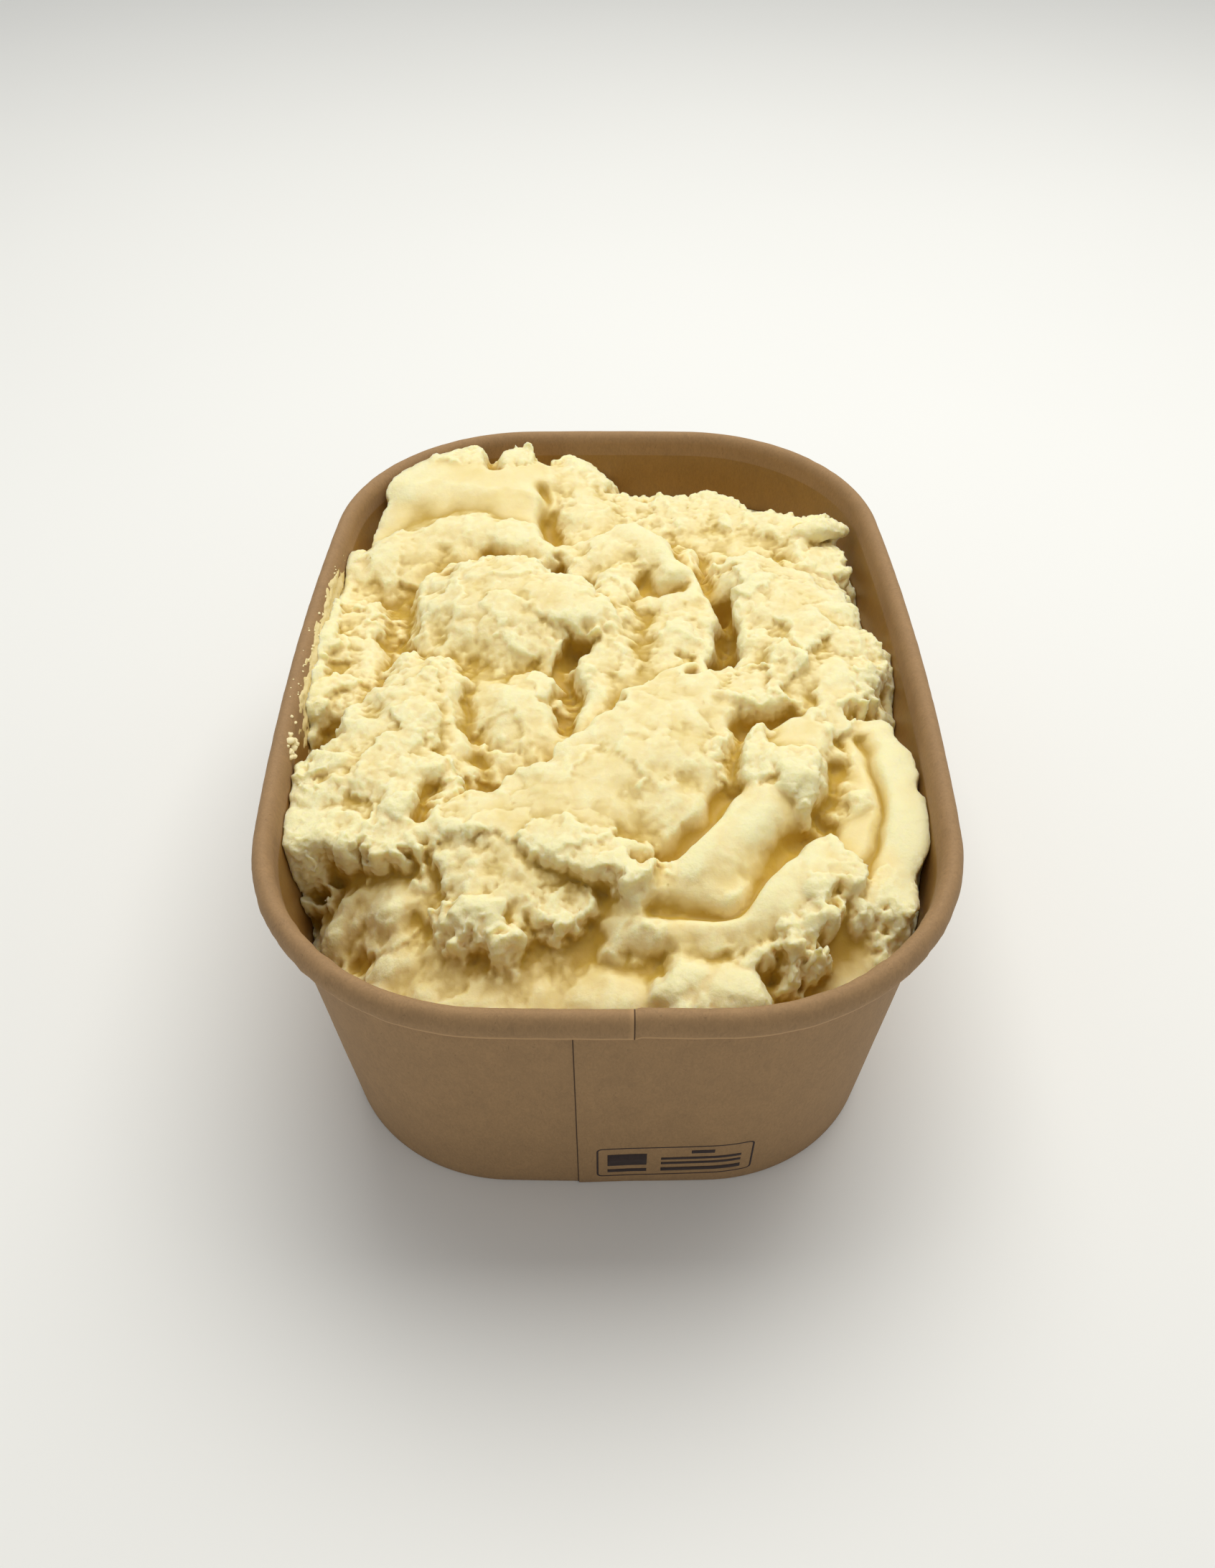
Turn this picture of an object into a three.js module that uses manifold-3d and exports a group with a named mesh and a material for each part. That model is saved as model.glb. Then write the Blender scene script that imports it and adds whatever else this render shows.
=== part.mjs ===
// A side of mashed potato in a rectangular kraft-paper bowl.
//
// Millimetres, +Z up. The origin is the middle of the foot, on the surface that the bowl stands on.
// The long side of the bowl runs along Y, and its glued lap seam is in the middle of the -Y end.
// Three solids: the side wall with its rolled rim and hemmed foot, the base pan that is crimped into
// that foot, and the heap of mash, whose spooned lobes lie over one another up to the rim.

import * as THREE from 'three';
import { mergeVertices } from 'three/addons/utils/BufferGeometryUtils.js';
import Module from 'manifold-3d';

const wasm = await Module();
wasm.setup();

// ---- Driving dimensions of the bowl ----

const BOWL_WIDTH = 120; // over the rim, along X
const BOWL_LENGTH = 172; // over the rim, along Y
const BOWL_HEIGHT = 60;
const CORNER_RADIUS = 41.5; // at the rim's outer edge
const LONG_SIDE_TURN = 3.9; // degrees that each long side bows from its middle to its end
const SHORT_SIDE_TURN = 1.5;
const WALL_TAPER = 6.4; // how far the wall leans out from the foot to the rim
const BOARD = 0.6; // thickness of the paperboard
const ROLL_WIDTH = 3.6; // the rolled rim is a flattened oval
const ROLL_HEIGHT = 5.6;
const HEM_HEIGHT = 5.4; // the foot's turned-in edge, which grips the base pan
const FIT_GAP = 0.3; // air between pieces that touch
const PAN_RECESS = 6.8; // height of the pan's upper face above the table
const SEAM_STEP = 0.3; // how proud the edge of a lapped sheet stands
const OUTER_LAP_X = -5.1; // where the outer sheet ends, on the outside of the -Y end
const INNER_LAP_X = 3.8; // where the inner sheet ends, on the inside and round the roll
const LAP_FADE = 9; // the step has levelled out this far from its edge
const LAP_EDGE = 0.12; // length of the slope that stands for a sheet's cut edge

// ---- Driving dimensions of the mash ----

const GRID_STEP = 2.15; // spacing of the points across the top of the heap
const BUMP_SIZE = 8; // width of the mash's coarse bumps
const FINE_BUMP_SIZE = 3.8;
const TEAR_SIZE = 7; // width of the waves that bend the lobes' outlines
const TEAR_REACH = 2.4; // how far those waves push an outline in or out
const RAG_SIZE = 5; // width of the rags along a torn edge
const RAG_REACH = 4;
const LEVEL_SHARE = 0.5; // how fast a torn edge changes with height, against along it
const BEND_SEEDS = [11.3, 47.7];
const RAG_SEEDS = [3.1, 23.9];
const COARSE_BUMP = 1.1; // height of the coarse bumps
const FINE_BUMP = 0.55;
const CHUNK_SIZE = 8.5; // width of the chunks on a crumbly face
const CHUNK_STEP = 0.85; // how far one chunk stands above or below the next
const CHUNK_RAG = 0.8; // how ragged the chunks' outlines are, against a torn edge
const BLEND = 1; // how softly the most crumbly lobes run into each other
const SMOOTH_BLEND = 2.5; // how many times more softly the smooth ones do
const LOBE_MARGIN = 8; // a lobe reaches no further than this beyond its own width
const CORNERING = 2.5; // 2 gives a lobe a round end, and more gives it a squarer one
const LIP_FACET = 2.6; // mean edge of an overhanging lip's triangles
const MIDDLE_LEVEL = 47; // height of the ground between the lobes in the middle of the bowl
const GROUND_CRUMBLY = 0.6;

// Fill level against the wall: [bearing seen from above in degrees from +X, height].
const FILL_LEVEL = [
  [-180, 54],
  [-168, 50],
  [-152, 45],
  [-146, 36],
  [-138, 27],
  [-124, 33],
  [-106, 38],
  [-90, 40],
  [-68, 40],
  [-56, 36],
  [-46, 28],
  [-36, 30],
  [-18, 42],
  [8, 42],
  [27, 45],
  [52, 47],
  [72, 43],
  [89, 45],
  [104, 54],
  [126, 54],
  [138, 47],
  [150, 53],
  [180, 54],
];

// The lobes that the spoon left, later ones over earlier ones. bump: height of the coarse bumps.
// crumbly: 0 is a smooth swiped face and 1 is a torn one. crest: points along the top. The next three
// are for the left and the right of the crest, looking along it. sides: half widths. drops: how far
// the top falls over that half width. flanks: how steep the lobe is beyond it.
const LOBES = [
  {
    name: 'back_left_slab', bump: 0.4, crumbly: 0.05,
    crest: [[-34, 46, 55.5], [-32, 54, 57.5], [-31, 61, 60]],
    sides: [17, 19], drops: [1, 2], flanks: [4, 1.5],
  },
  {
    name: 'back_edge', bump: 0.5, crumbly: 0.9,
    crest: [[-39, 72, 60], [-30, 75, 60.5], [-21, 74.5, 60.5]],
    sides: [2.5, 3], drops: [0.5, 0.5], flanks: [3, 1],
  },
  {
    name: 'back_centre', bump: 0.8, crumbly: 0.6,
    crest: [[-10, 70, 58], [-5, 60, 56.5], [-4, 45, 54]],
    sides: [8, 7], drops: [2, 3], flanks: [1.5, 1.5],
  },
  {
    name: 'back_ridge', bump: 1, crumbly: 0.8,
    crest: [[3, 64, 55], [14, 62, 54.5], [24, 63, 54.5], [30, 58, 54.5], [38, 54, 55], [45, 51, 57]],
    sides: [3, 16], drops: [1.5, 4], flanks: [3, 0.8],
  },
  {
    name: 'back_ridge_front', bump: 0.8, crumbly: 0.7,
    crest: [[18, 52, 53.5], [30, 45, 54]],
    sides: [9, 9], drops: [2, 3], flanks: [1, 1],
  },
  {
    name: 'corner_lump', bump: 1, crumbly: 0.8,
    crest: [[41, 50, 56], [42, 40, 55], [42, 30, 54]],
    sides: [7.5, 9], drops: [2, 2.5], flanks: [2, 1.2],
  },
  {
    name: 'left_shelf', bump: 0.6, crumbly: 0.5,
    crest: [[-56, 36, 55.5], [-50, 38, 56.5], [-44, 42, 56.5]],
    sides: [4, 15], drops: [1, 6], flanks: [2, 0.6],
  },
  {
    name: 'curving_ridge', bump: 0.5, crumbly: 0.45,
    crest: [[-50, 38, 57], [-42, 42.5, 58], [-34, 46, 59], [-26, 46.5, 59.5], [-19, 44, 59], [-12, 40, 57.5]],
    sides: [3.5, 11], drops: [1.2, 5], flanks: [1, 0.9],
  },
  {
    name: 'great_dome', bump: 0.8, crumbly: 0.6,
    crest: [[-22, 22, 61.5], [-22, 12, 60.5], [-24, 0, 55]],
    sides: [12.5, 15], drops: [3, 4], flanks: [4, 1],
  },
  {
    name: 'dome_nose', bump: 0.7, crumbly: 0.6,
    crest: [[-20, 21, 61.5], [-9, 18, 61.5], [-4.5, 15, 61]],
    sides: [5.5, 6], drops: [1.5, 1.5], flanks: [2, 4],
  },
  {
    name: 'arch', bump: 0.7, crumbly: 0.5,
    crest: [[-9, 38.5, 57], [0, 42, 58], [8, 43.5, 59], [13, 38, 59], [16.5, 30, 58], [20, 22, 57.5]],
    sides: [2.5, 14], drops: [0.8, 5], flanks: [1.5, 0.9],
  },
  {
    name: 'arch_lump', bump: 1, crumbly: 0.7,
    crest: [[13, 26, 57.5], [14, 12, 57], [12, 0, 55]],
    sides: [8, 7], drops: [2.5, 2.5], flanks: [0.9, 1.2],
  },
  {
    name: 'middle_ridge', bump: 0.6, crumbly: 0.7,
    crest: [[2, 30, 58], [1, 18, 58.5], [-0.5, 6, 58], [-2.5, -6, 56.5], [-5.5, -16, 55]],
    sides: [3.5, 3.5], drops: [1.5, 1.5], flanks: [0.6, 1.5],
  },
  {
    name: 'valley_floor', bump: 0.6, crumbly: 0.3,
    crest: [[-8, 13, 52.5], [-8.5, 3, 52], [-9, -7, 51.5]],
    sides: [3.5, 4.5], drops: [1, 1], flanks: [1, 1],
  },
  {
    name: 'middle_lump', bump: 0.5, crumbly: 0.3,
    crest: [[5, -4, 55], [4, -13, 54.5]],
    sides: [6, 6], drops: [1.5, 1.5], flanks: [0.8, 0.8],
  },
  {
    name: 'right_dome', bump: 1, crumbly: 0.7,
    crest: [[30, 24, 59], [36, 14, 60], [38, 2, 59]],
    sides: [13, 13], drops: [3, 4], flanks: [2, 1.5],
  },
  {
    name: 'right_crumbs', bump: 1.4, crumbly: 1,
    crest: [[36, 3, 60], [45, 6, 59]],
    sides: [7, 6], drops: [2, 2], flanks: [1.2, 1.2],
  },
  {
    name: 'right_shelf', bump: 1, crumbly: 0.8,
    crest: [[18, -8, 58], [32, -6, 58.5], [46, -3, 58]],
    sides: [4, 7], drops: [1, 2], flanks: [1, 3],
  },
  {
    name: 'hanging_rag', bump: 0.6, crumbly: 0.8,
    crest: [[44, -5, 59], [42, -12, 58.5], [40.5, -17, 57.5]],
    sides: [3.5, 3.5], drops: [0.5, 0.5], flanks: [3, 3],
  },
  {
    name: 'right_wall_low', bump: 0.8, crumbly: 0.5,
    crest: [[49, -4, 50], [48, -16, 50]],
    sides: [4, 4], drops: [1.5, 1.5], flanks: [1, 1],
  },
  {
    name: 'left_wall_back', bump: 1, crumbly: 0.9,
    crest: [[-54, 30, 54], [-53, 19, 56], [-50, 14, 56]],
    sides: [7, 4], drops: [2, 1.5], flanks: [0.7, 1.5],
  },
  {
    name: 'left_wall_smear', bump: 0.8, crumbly: 1,
    crest: [[-56.5, 22, 57], [-57, 5, 58], [-57, -8, 57]],
    sides: [2.5, 3], drops: [0.5, 1], flanks: [2, 2],
  },
  {
    name: 'left_wall_mid', bump: 1, crumbly: 0.9,
    crest: [[-48, 9, 55], [-47, 3, 55]],
    sides: [6, 5], drops: [1.5, 1.5], flanks: [1, 1.5],
  },
  {
    name: 'left_wall_front', bump: 1, crumbly: 1,
    crest: [[-53, 8, 56.5], [-53, -8, 56], [-53, -12, 55]],
    sides: [7, 4], drops: [2, 2], flanks: [0.8, 1.2],
  },
  {
    name: 'left_middle', bump: 0.6, crumbly: 0.9,
    crest: [[-36, -4, 58.5], [-39, -14, 59], [-42, -25, 58]],
    sides: [9, 8], drops: [2.5, 2.5], flanks: [2, 2],
  },
  {
    name: 'left_middle_right', bump: 0.6, crumbly: 0.8,
    crest: [[-30, -6, 57.5], [-28.5, -16, 56], [-27, -26, 54]],
    sides: [5, 5.5], drops: [1.5, 1.5], flanks: [1, 1],
  },
  {
    name: 'left_front', bump: 0.8, crumbly: 1,
    crest: [[-48, -30, 57.5], [-40, -31, 58], [-32, -31, 57.5]],
    sides: [6, 14], drops: [1.5, 3], flanks: [1.5, 4],
  },
  {
    name: 'wedge', bump: 0.7, crumbly: 0.5,
    crest: [[-17, -8, 57], [-16, -18, 55], [-17, -27, 51]],
    sides: [7, 7.5], drops: [1.5, 2], flanks: [2, 1.2],
  },
  {
    name: 'leaf_lump', bump: 0.5, crumbly: 0.4,
    crest: [[-29, -34, 53], [-22, -36, 53]],
    sides: [3.5, 4], drops: [1, 1], flanks: [1, 2],
  },
  {
    name: 'diagonal_roll', bump: 0.9, crumbly: 0.45,
    crest: [[-18, -42, 57], [-4, -34, 58.5], [6, -24, 59.5], [12, -15, 59], [18, -9, 58]],
    sides: [10, 16], drops: [1.5, 5], flanks: [3, 2],
  },
  {
    name: 'front_centre', bump: 1, crumbly: 0.8,
    crest: [[-24, -42, 57], [-22, -49, 56], [-21, -55, 54]],
    sides: [8, 6.5], drops: [1.5, 2], flanks: [1.5, 2.4],
  },
  {
    name: 'front_mid', bump: 1, crumbly: 0.9,
    crest: [[-12, -46, 56], [-10, -54, 54]],
    sides: [7, 5], drops: [1.5, 2], flanks: [2, 2],
  },
  {
    name: 'white_tongue', bump: 0.8, crumbly: 0.9,
    crest: [[-12, -44, 58], [-4, -47.5, 58.5], [5, -50, 58]],
    sides: [2.5, 4], drops: [0.5, 0.5], flanks: [1, 3],
  },
  {
    name: 'long_roll', bump: 0.5, crumbly: 0.15,
    crest: [[36, -20, 57.5], [30, -31, 58], [22, -41, 57], [14, -49, 55.5], [9, -54, 53.5]],
    sides: [10, 9], drops: [8, 3.5], flanks: [1.2, 0.9],
  },
  {
    name: 'front_knob', bump: 0.5, crumbly: 0.5,
    crest: [[6.5, -54, 55], [8, -57.5, 54]],
    sides: [3, 3], drops: [1, 1], flanks: [1, 1.5],
  },
  {
    name: 'long_roll_crown', bump: 1.2, crumbly: 1,
    crest: [[24, -24, 59.5], [31, -30, 59.5]],
    sides: [6, 6], drops: [2, 2], flanks: [1.2, 1.2],
  },
  {
    name: 'crown_right', bump: 0.8, crumbly: 0.7,
    crest: [[39, -20, 57.5], [40, -33, 56.5]],
    sides: [4, 5], drops: [2, 2], flanks: [1.5, 1.2],
  },
  {
    name: 'wall_fold_inner', bump: 0.2, crumbly: 0.05,
    crest: [[44, -25, 55], [45, -36, 54], [42, -46, 53], [38, -54, 52]],
    sides: [4, 7], drops: [1.2, 3], flanks: [0.8, 1],
  },
  {
    name: 'wall_fold', bump: 0.2, crumbly: 0.05,
    crest: [[48, -18, 56], [50.5, -28, 56], [50, -40, 55], [46.5, -53, 53]],
    sides: [3, 4], drops: [1, 1.2], flanks: [3, 1.2],
  },
  {
    name: 'fold_end', bump: 0.6, crumbly: 0.8,
    crest: [[46, -51, 53.5], [42, -56, 53]],
    sides: [3, 3], drops: [1, 1], flanks: [1.5, 3],
  },
  {
    name: 'front_tongue', bump: 0.5, crumbly: 0.2,
    crest: [[35, -51, 56.5], [28, -55, 55.5], [18, -58, 53.5], [5, -58, 51.5]],
    sides: [6, 8], drops: [3, 4], flanks: [2.5, 1],
  },
  {
    name: 'tongue_edge', bump: 0.8, crumbly: 0.9,
    crest: [[38, -51, 56.5], [34, -57, 56], [29, -62, 54]],
    sides: [3, 3], drops: [0.5, 0.5], flanks: [2.5, 1],
  },
  {
    name: 'low_left_back', bump: 0.8, crumbly: 0.4,
    crest: [[-41, -48, 47], [-35, -50, 49], [-27, -54, 48.5]],
    sides: [6, 4.5], drops: [1, 2.5], flanks: [0.5, 1.6],
  },
  {
    name: 'low_left', bump: 0.8, crumbly: 0.4,
    crest: [[-38, -56, 42.5], [-32, -61, 44], [-24, -65, 44]],
    sides: [7, 4], drops: [0.5, 2], flanks: [0.3, 1.6],
  },
  {
    name: 'low_back', bump: 1, crumbly: 0.4,
    crest: [[-26, -59, 46.5], [-13, -59, 47], [-3, -60, 46]],
    sides: [6, 7], drops: [1, 2], flanks: [0.5, 0.5],
  },
  {
    name: 'low_middle', bump: 0.9, crumbly: 0.4,
    crest: [[-24, -69, 43.5], [-9, -70, 43.5]],
    sides: [7, 6], drops: [1, 2], flanks: [0.4, 0.8],
  },
  {
    name: 'low_yellow_lump', bump: 0.5, crumbly: 0.2,
    crest: [[1, -68.5, 46.5], [6, -69, 46.5]],
    sides: [5, 5], drops: [2, 2], flanks: [1, 1],
  },
  {
    name: 'low_white_lump', bump: 0.5, crumbly: 0.4,
    crest: [[12.5, -68, 50.5], [19.5, -69, 50]],
    sides: [5, 5], drops: [2.5, 2.5], flanks: [2, 2],
  },
  {
    name: 'low_right', bump: 1.6, crumbly: 1,
    crest: [[28, -66, 42], [38, -62, 42], [45, -55, 40]],
    sides: [6, 6], drops: [1.5, 1.5], flanks: [0.8, 1.5],
  },
];

// Grooves and pits between the lobes. path: points along the bottom seen from above. width: half of
// the width. depth: how far it cuts below the surface round it.
const GROOVES = [
  { name: 'slab_notch', path: [[-26, 71], [-26.5, 79]], width: 1.6, depth: 4 },
  { name: 'slab_crack', path: [[-13.5, 62], [-12.5, 54], [-12, 45]], width: 2.2, depth: 3.2 },
  { name: 'ridge_pit', path: [[-25.5, 38.5], [-23, 37.5]], width: 1.6, depth: 3 },
  { name: 'arch_groove', path: [[9, 48], [14.5, 40.5], [19.5, 31], [22, 24]], width: 2.2, depth: 4 },
  {
    name: 'curl_crack', width: 1.6, depth: 7,
    path: [[22, 23], [23.5, 15], [23.5, 8], [21, 2], [17.5, -2]],
  },
  { name: 'arch_inner', path: [[7, 29], [11, 26], [15, 25.5]], width: 2, depth: 3.5 },
  { name: 'middle_valley', path: [[-5, 10], [-6.5, 2], [-6.5, -6], [-8, -15]], width: 1.8, depth: 2.5 },
  { name: 'dome_left_trough', path: [[-43, 24], [-43.5, 12], [-42, 1]], width: 2, depth: 1 },
  {
    name: 'left_middle_trough', width: 1.6, depth: 2,
    path: [[-26, -6], [-25, -15], [-22, -26], [-20, -31]],
  },
  {
    name: 'roll_groove', width: 1.6, depth: 4,
    path: [[5, -50], [12, -45], [18, -38], [21, -31], [23, -24], [26, -16], [34, -13]],
  },
  {
    name: 'fold_groove', width: 1.2, depth: 2,
    path: [[47, -20], [47.5, -30], [46.5, -40], [42.5, -51]],
  },
  {
    name: 'long_roll_groove', width: 1.8, depth: 3.5,
    path: [[42, -27], [38, -38], [31, -46], [26, -52], [20, -58], [8, -58]],
  },
  { name: 'leaf_groove', path: [[-31, -32], [-31, -40]], width: 1.6, depth: 4 },
  { name: 'left_gap', path: [[-53, -14], [-54, -24]], width: 2.5, depth: 4 },
];

// Lips that hang over what lies below them, and the few pieces that stand free. width: half of the
// width across the crest. depth: half of the thickness.
const LIPS = [
  {
    name: 'corner_knob', width: 2.6, depth: 2.2, bump: 0.6,
    crest: [[42, 47, 58], [47, 47.5, 59], [50.5, 49, 58]],
  },
  {
    name: 'dome_nose_lip', width: 3.6, depth: 2.8, bump: 0.7,
    crest: [[-8, 18, 61], [-4, 14.5, 60]],
  },
  {
    name: 'hooked_curl', width: 1.6, depth: 2.2, bump: 0.2,
    crest: [[17.5, 6, 56], [18.5, 0, 55], [21, -1.5, 54.5], [22.5, 1, 54]],
  },
  {
    name: 'left_front_lip', width: 3.4, depth: 3, bump: 1,
    crest: [[-48, -44.5, 55], [-40, -46, 54.5], [-32, -45, 54]],
  },
  {
    name: 'front_centre_lip', width: 3.2, depth: 3, bump: 1,
    crest: [[-25, -57, 54], [-20, -60, 52], [-15, -58.5, 52]],
  },
  {
    name: 'white_tongue_lip', width: 3, depth: 2.2, bump: 0.8,
    crest: [[-7, -50, 57.5], [0, -53, 57], [6, -53.5, 56]],
  },
  {
    name: 'tongue_edge_lip', width: 2.8, depth: 2.6, bump: 0.8,
    crest: [[37, -55, 56], [34, -60, 54.5], [29, -63, 52]],
  },
];

const MATERIALS = {
  kraft: new THREE.MeshStandardMaterial({ color: '#b5946f', roughness: 0.8, metalness: 0 }),
  kraftInner: new THREE.MeshStandardMaterial({ color: '#8f6b3f', roughness: 0.75, metalness: 0 }),
  mash: new THREE.MeshStandardMaterial({ color: '#f3e6ae', roughness: 0.55, metalness: 0 }),
};

// ---- The bowl's outline ----
//
// Seen from above, the rim is four corner arcs joined by four long shallow arcs, all tangent, so
// the outline at any offset is the same family of arcs with every radius changed by that offset.

const LONG_TURN = THREE.MathUtils.degToRad(LONG_SIDE_TURN);
const SHORT_TURN = THREE.MathUtils.degToRad(SHORT_SIDE_TURN);
const { longRadius, shortRadius } = sideRadii();
const CORNER_X = BOWL_WIDTH / 2 - longRadius + (longRadius - CORNER_RADIUS) * Math.cos(LONG_TURN);
const CORNER_Y = (longRadius - CORNER_RADIUS) * Math.sin(LONG_TURN);

// The radii of the side arcs, from the condition that they meet the corner arcs tangentially.
function sideRadii() {
  const a = Math.cos(LONG_TURN) - 1;
  const b = -Math.sin(SHORT_TURN);
  const c = Math.sin(LONG_TURN);
  const d = 1 - Math.cos(SHORT_TURN);
  const p = -BOWL_WIDTH / 2 + CORNER_RADIUS * (Math.cos(LONG_TURN) - Math.sin(SHORT_TURN));
  const q = BOWL_LENGTH / 2 + CORNER_RADIUS * (Math.sin(LONG_TURN) - Math.cos(SHORT_TURN));
  const det = a * d - b * c;
  return { longRadius: (p * d - b * q) / det, shortRadius: (a * q - p * c) / det };
}

// The rim's outer edge where its outward normal has this direction, in radians from +X.
function rimStation(direction) {
  const nx = Math.cos(direction);
  const ny = Math.sin(direction);
  const lean = Math.atan2(Math.abs(ny), Math.abs(nx));
  let centre = [CORNER_X, CORNER_Y];
  let radius = CORNER_RADIUS;
  if (lean <= LONG_TURN) {
    centre = [BOWL_WIDTH / 2 - longRadius, 0];
    radius = longRadius;
  } else if (lean >= Math.PI / 2 - SHORT_TURN) {
    centre = [0, BOWL_LENGTH / 2 - shortRadius];
    radius = shortRadius;
  }
  const x = Math.sign(nx) * centre[0] + radius * nx;
  const y = Math.sign(ny) * centre[1] + radius * ny;
  return { x, y, nx, ny };
}

// Normal directions all round: fine round the corners, coarse on the sides, plus any extra ones.
function rimDirections(cornerSteps, extra = []) {
  const right = [];
  const sideSteps = 3;
  for (let i = 0; i < sideSteps; i += 1) right.push((LONG_TURN * i) / sideSteps);
  const sweep = Math.PI / 2 - LONG_TURN - SHORT_TURN;
  for (let i = 0; i <= cornerSteps; i += 1) right.push(LONG_TURN + (sweep * i) / cornerSteps);
  const quarter = right.map((angle) => [angle, Math.PI - angle, Math.PI + angle, -angle]);
  const middles = [Math.PI / 2, -Math.PI / 2];
  const all = [...quarter.flat(), ...middles, ...extra];
  const wrapped = all.map((angle) => THREE.MathUtils.euclideanModulo(angle, 2 * Math.PI));
  const sorted = wrapped.sort((a, b) => a - b);
  return sorted.filter((angle, i) => i === 0 || angle - sorted[i - 1] > 1e-6);
}

// Offset of the wall's outer face from the rim's outer edge, at a height.
function wallOffset(z) {
  const lean = WALL_TAPER * (1 - z / (BOWL_HEIGHT - ROLL_HEIGHT / 2));
  return BOARD - ROLL_WIDTH - Math.max(lean, 0);
}

// ---- Solids from rings ----

function geometryFrom(points, triangles) {
  const geometry = new THREE.BufferGeometry();
  geometry.setAttribute('position', new THREE.Float32BufferAttribute(points.flat(), 3));
  geometry.setIndex(triangles);
  return geometry;
}

// Quads between neighbouring rings, each of the given number of points.
function ringTriangles(ringCount, size, closed) {
  const triangles = [];
  const spans = closed ? ringCount : ringCount - 1;
  for (let r = 0; r < spans; r += 1) {
    const next = (r + 1) % ringCount;
    for (let i = 0; i < size; i += 1) {
      const j = (i + 1) % size;
      triangles.push(r * size + i, r * size + j, next * size + j);
      triangles.push(r * size + i, next * size + j, next * size + i);
    }
  }
  return triangles;
}

// A closed profile of [offset, z] points carried all round the outline.
function sweptWall(profile, stations, stepAt = () => 0) {
  const points = profile.flatMap(([offset, z, face]) => stations.map((s) => {
    const reach = offset + stepAt(s, face);
    return [s.x + s.nx * reach, s.y + s.ny * reach, z];
  }));
  return geometryFrom(points, ringTriangles(profile.length, stations.length, true));
}

// An open profile of [offset, z] points carried all round, with both ends closed across the middle.
function cappedSolid(profile, stations, middleStart, middleEnd) {
  const size = stations.length;
  const points = profile.flatMap(([offset, z]) => stations.map((s) => {
    return [s.x + s.nx * offset, s.y + s.ny * offset, z];
  }));
  const triangles = ringTriangles(profile.length, size, false);
  const start = points.push([0, 0, middleStart]) - 1;
  const end = points.push([0, 0, middleEnd]) - 1;
  const last = (profile.length - 1) * size;
  for (let i = 0; i < size; i += 1) {
    const j = (i + 1) % size;
    triangles.push(start, j, i);
    triangles.push(end, last + i, last + j);
  }
  return geometryFrom(points, triangles);
}

function toManifold(geometry) {
  const merged = mergeVertices(geometry, 1e-4);
  return new wasm.Manifold(new wasm.Mesh({
    numProp: 3,
    vertProperties: new Float32Array(merged.attributes.position.array),
    triVerts: new Uint32Array(merged.index.array),
  }));
}

function fromManifold(solid) {
  const { vertProperties, triVerts } = solid.getMesh();
  const geometry = new THREE.BufferGeometry();
  geometry.setAttribute('position', new THREE.Float32BufferAttribute(vertProperties, 3));
  geometry.setIndex(Array.from(triVerts));
  return geometry;
}

// ---- Side wall: one sheet, lapped at the front, rolled at the rim and hemmed at the foot ----

function lapDirections() {
  const edges = [OUTER_LAP_X, OUTER_LAP_X - LAP_EDGE, INNER_LAP_X, INNER_LAP_X + LAP_EDGE];
  return edges.map((x) => -Math.PI / 2 + Math.asin(x / shortRadius));
}

// A step that is full just past a cut edge and levels out further on.
function fadingStep(past) {
  return past < -1e-3 ? 0 : SEAM_STEP * THREE.MathUtils.clamp(1 - past / LAP_FADE, 0, 1);
}

// The step of the lapped sheets. The outer one ends at the left and stands proud on the outside. The
// inner one ends at the right and stands proud on the inside. The roll turns the inner sheet's edge
// outwards, and dips beyond it.
function lapStep(station, face) {
  if (station.ny > -0.9 || face === 'hem') return 0;
  if (face === 'outside') return fadingStep(station.x - OUTER_LAP_X);
  if (face === 'inside') return -fadingStep(INNER_LAP_X - station.x);
  return -fadingStep(station.x - INNER_LAP_X - LAP_EDGE);
}

function sidewallProfile() {
  const rollMiddle = BOWL_HEIGHT - ROLL_HEIGHT / 2;
  const halfWidth = ROLL_WIDTH / 2;
  const underRoll = -Math.acos((BOARD - ROLL_WIDTH + halfWidth) / halfWidth);
  const onRoll = (angle) => [
    halfWidth * (Math.cos(angle) - 1),
    rollMiddle + (ROLL_HEIGHT / 2) * Math.sin(angle),
  ];
  const profile = [[wallOffset(0), 0, 'outside'], [...onRoll(underRoll), 'outside']];
  const rollSteps = 9;
  for (let i = 0; i < rollSteps; i += 1) {
    const angle = THREE.MathUtils.lerp(-Math.PI / 2, Math.PI, i / rollSteps);
    profile.push([...onRoll(angle), 'roll']);
  }
  profile.push([...onRoll(Math.PI), 'inside']);
  const slot = BOARD + 2 * FIT_GAP;
  const hemTop = wallOffset(HEM_HEIGHT) - BOARD - slot;
  const hemFoot = wallOffset(0) - BOARD - slot;
  profile.push([wallOffset(BOARD) - BOARD, BOARD, 'inside']);
  profile.push([hemFoot, BOARD, 'hem']);
  profile.push([hemTop, HEM_HEIGHT, 'hem']);
  profile.push([hemTop - BOARD, HEM_HEIGHT, 'hem']);
  profile.push([hemFoot - BOARD, 0, 'hem']);
  return profile;
}

function sidewall() {
  const stations = rimDirections(10, lapDirections()).map(rimStation);
  return sweptWall(sidewallProfile(), stations, lapStep);
}

// ---- Base: a flat pan whose skirt hangs in the foot's slot ----

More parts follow.
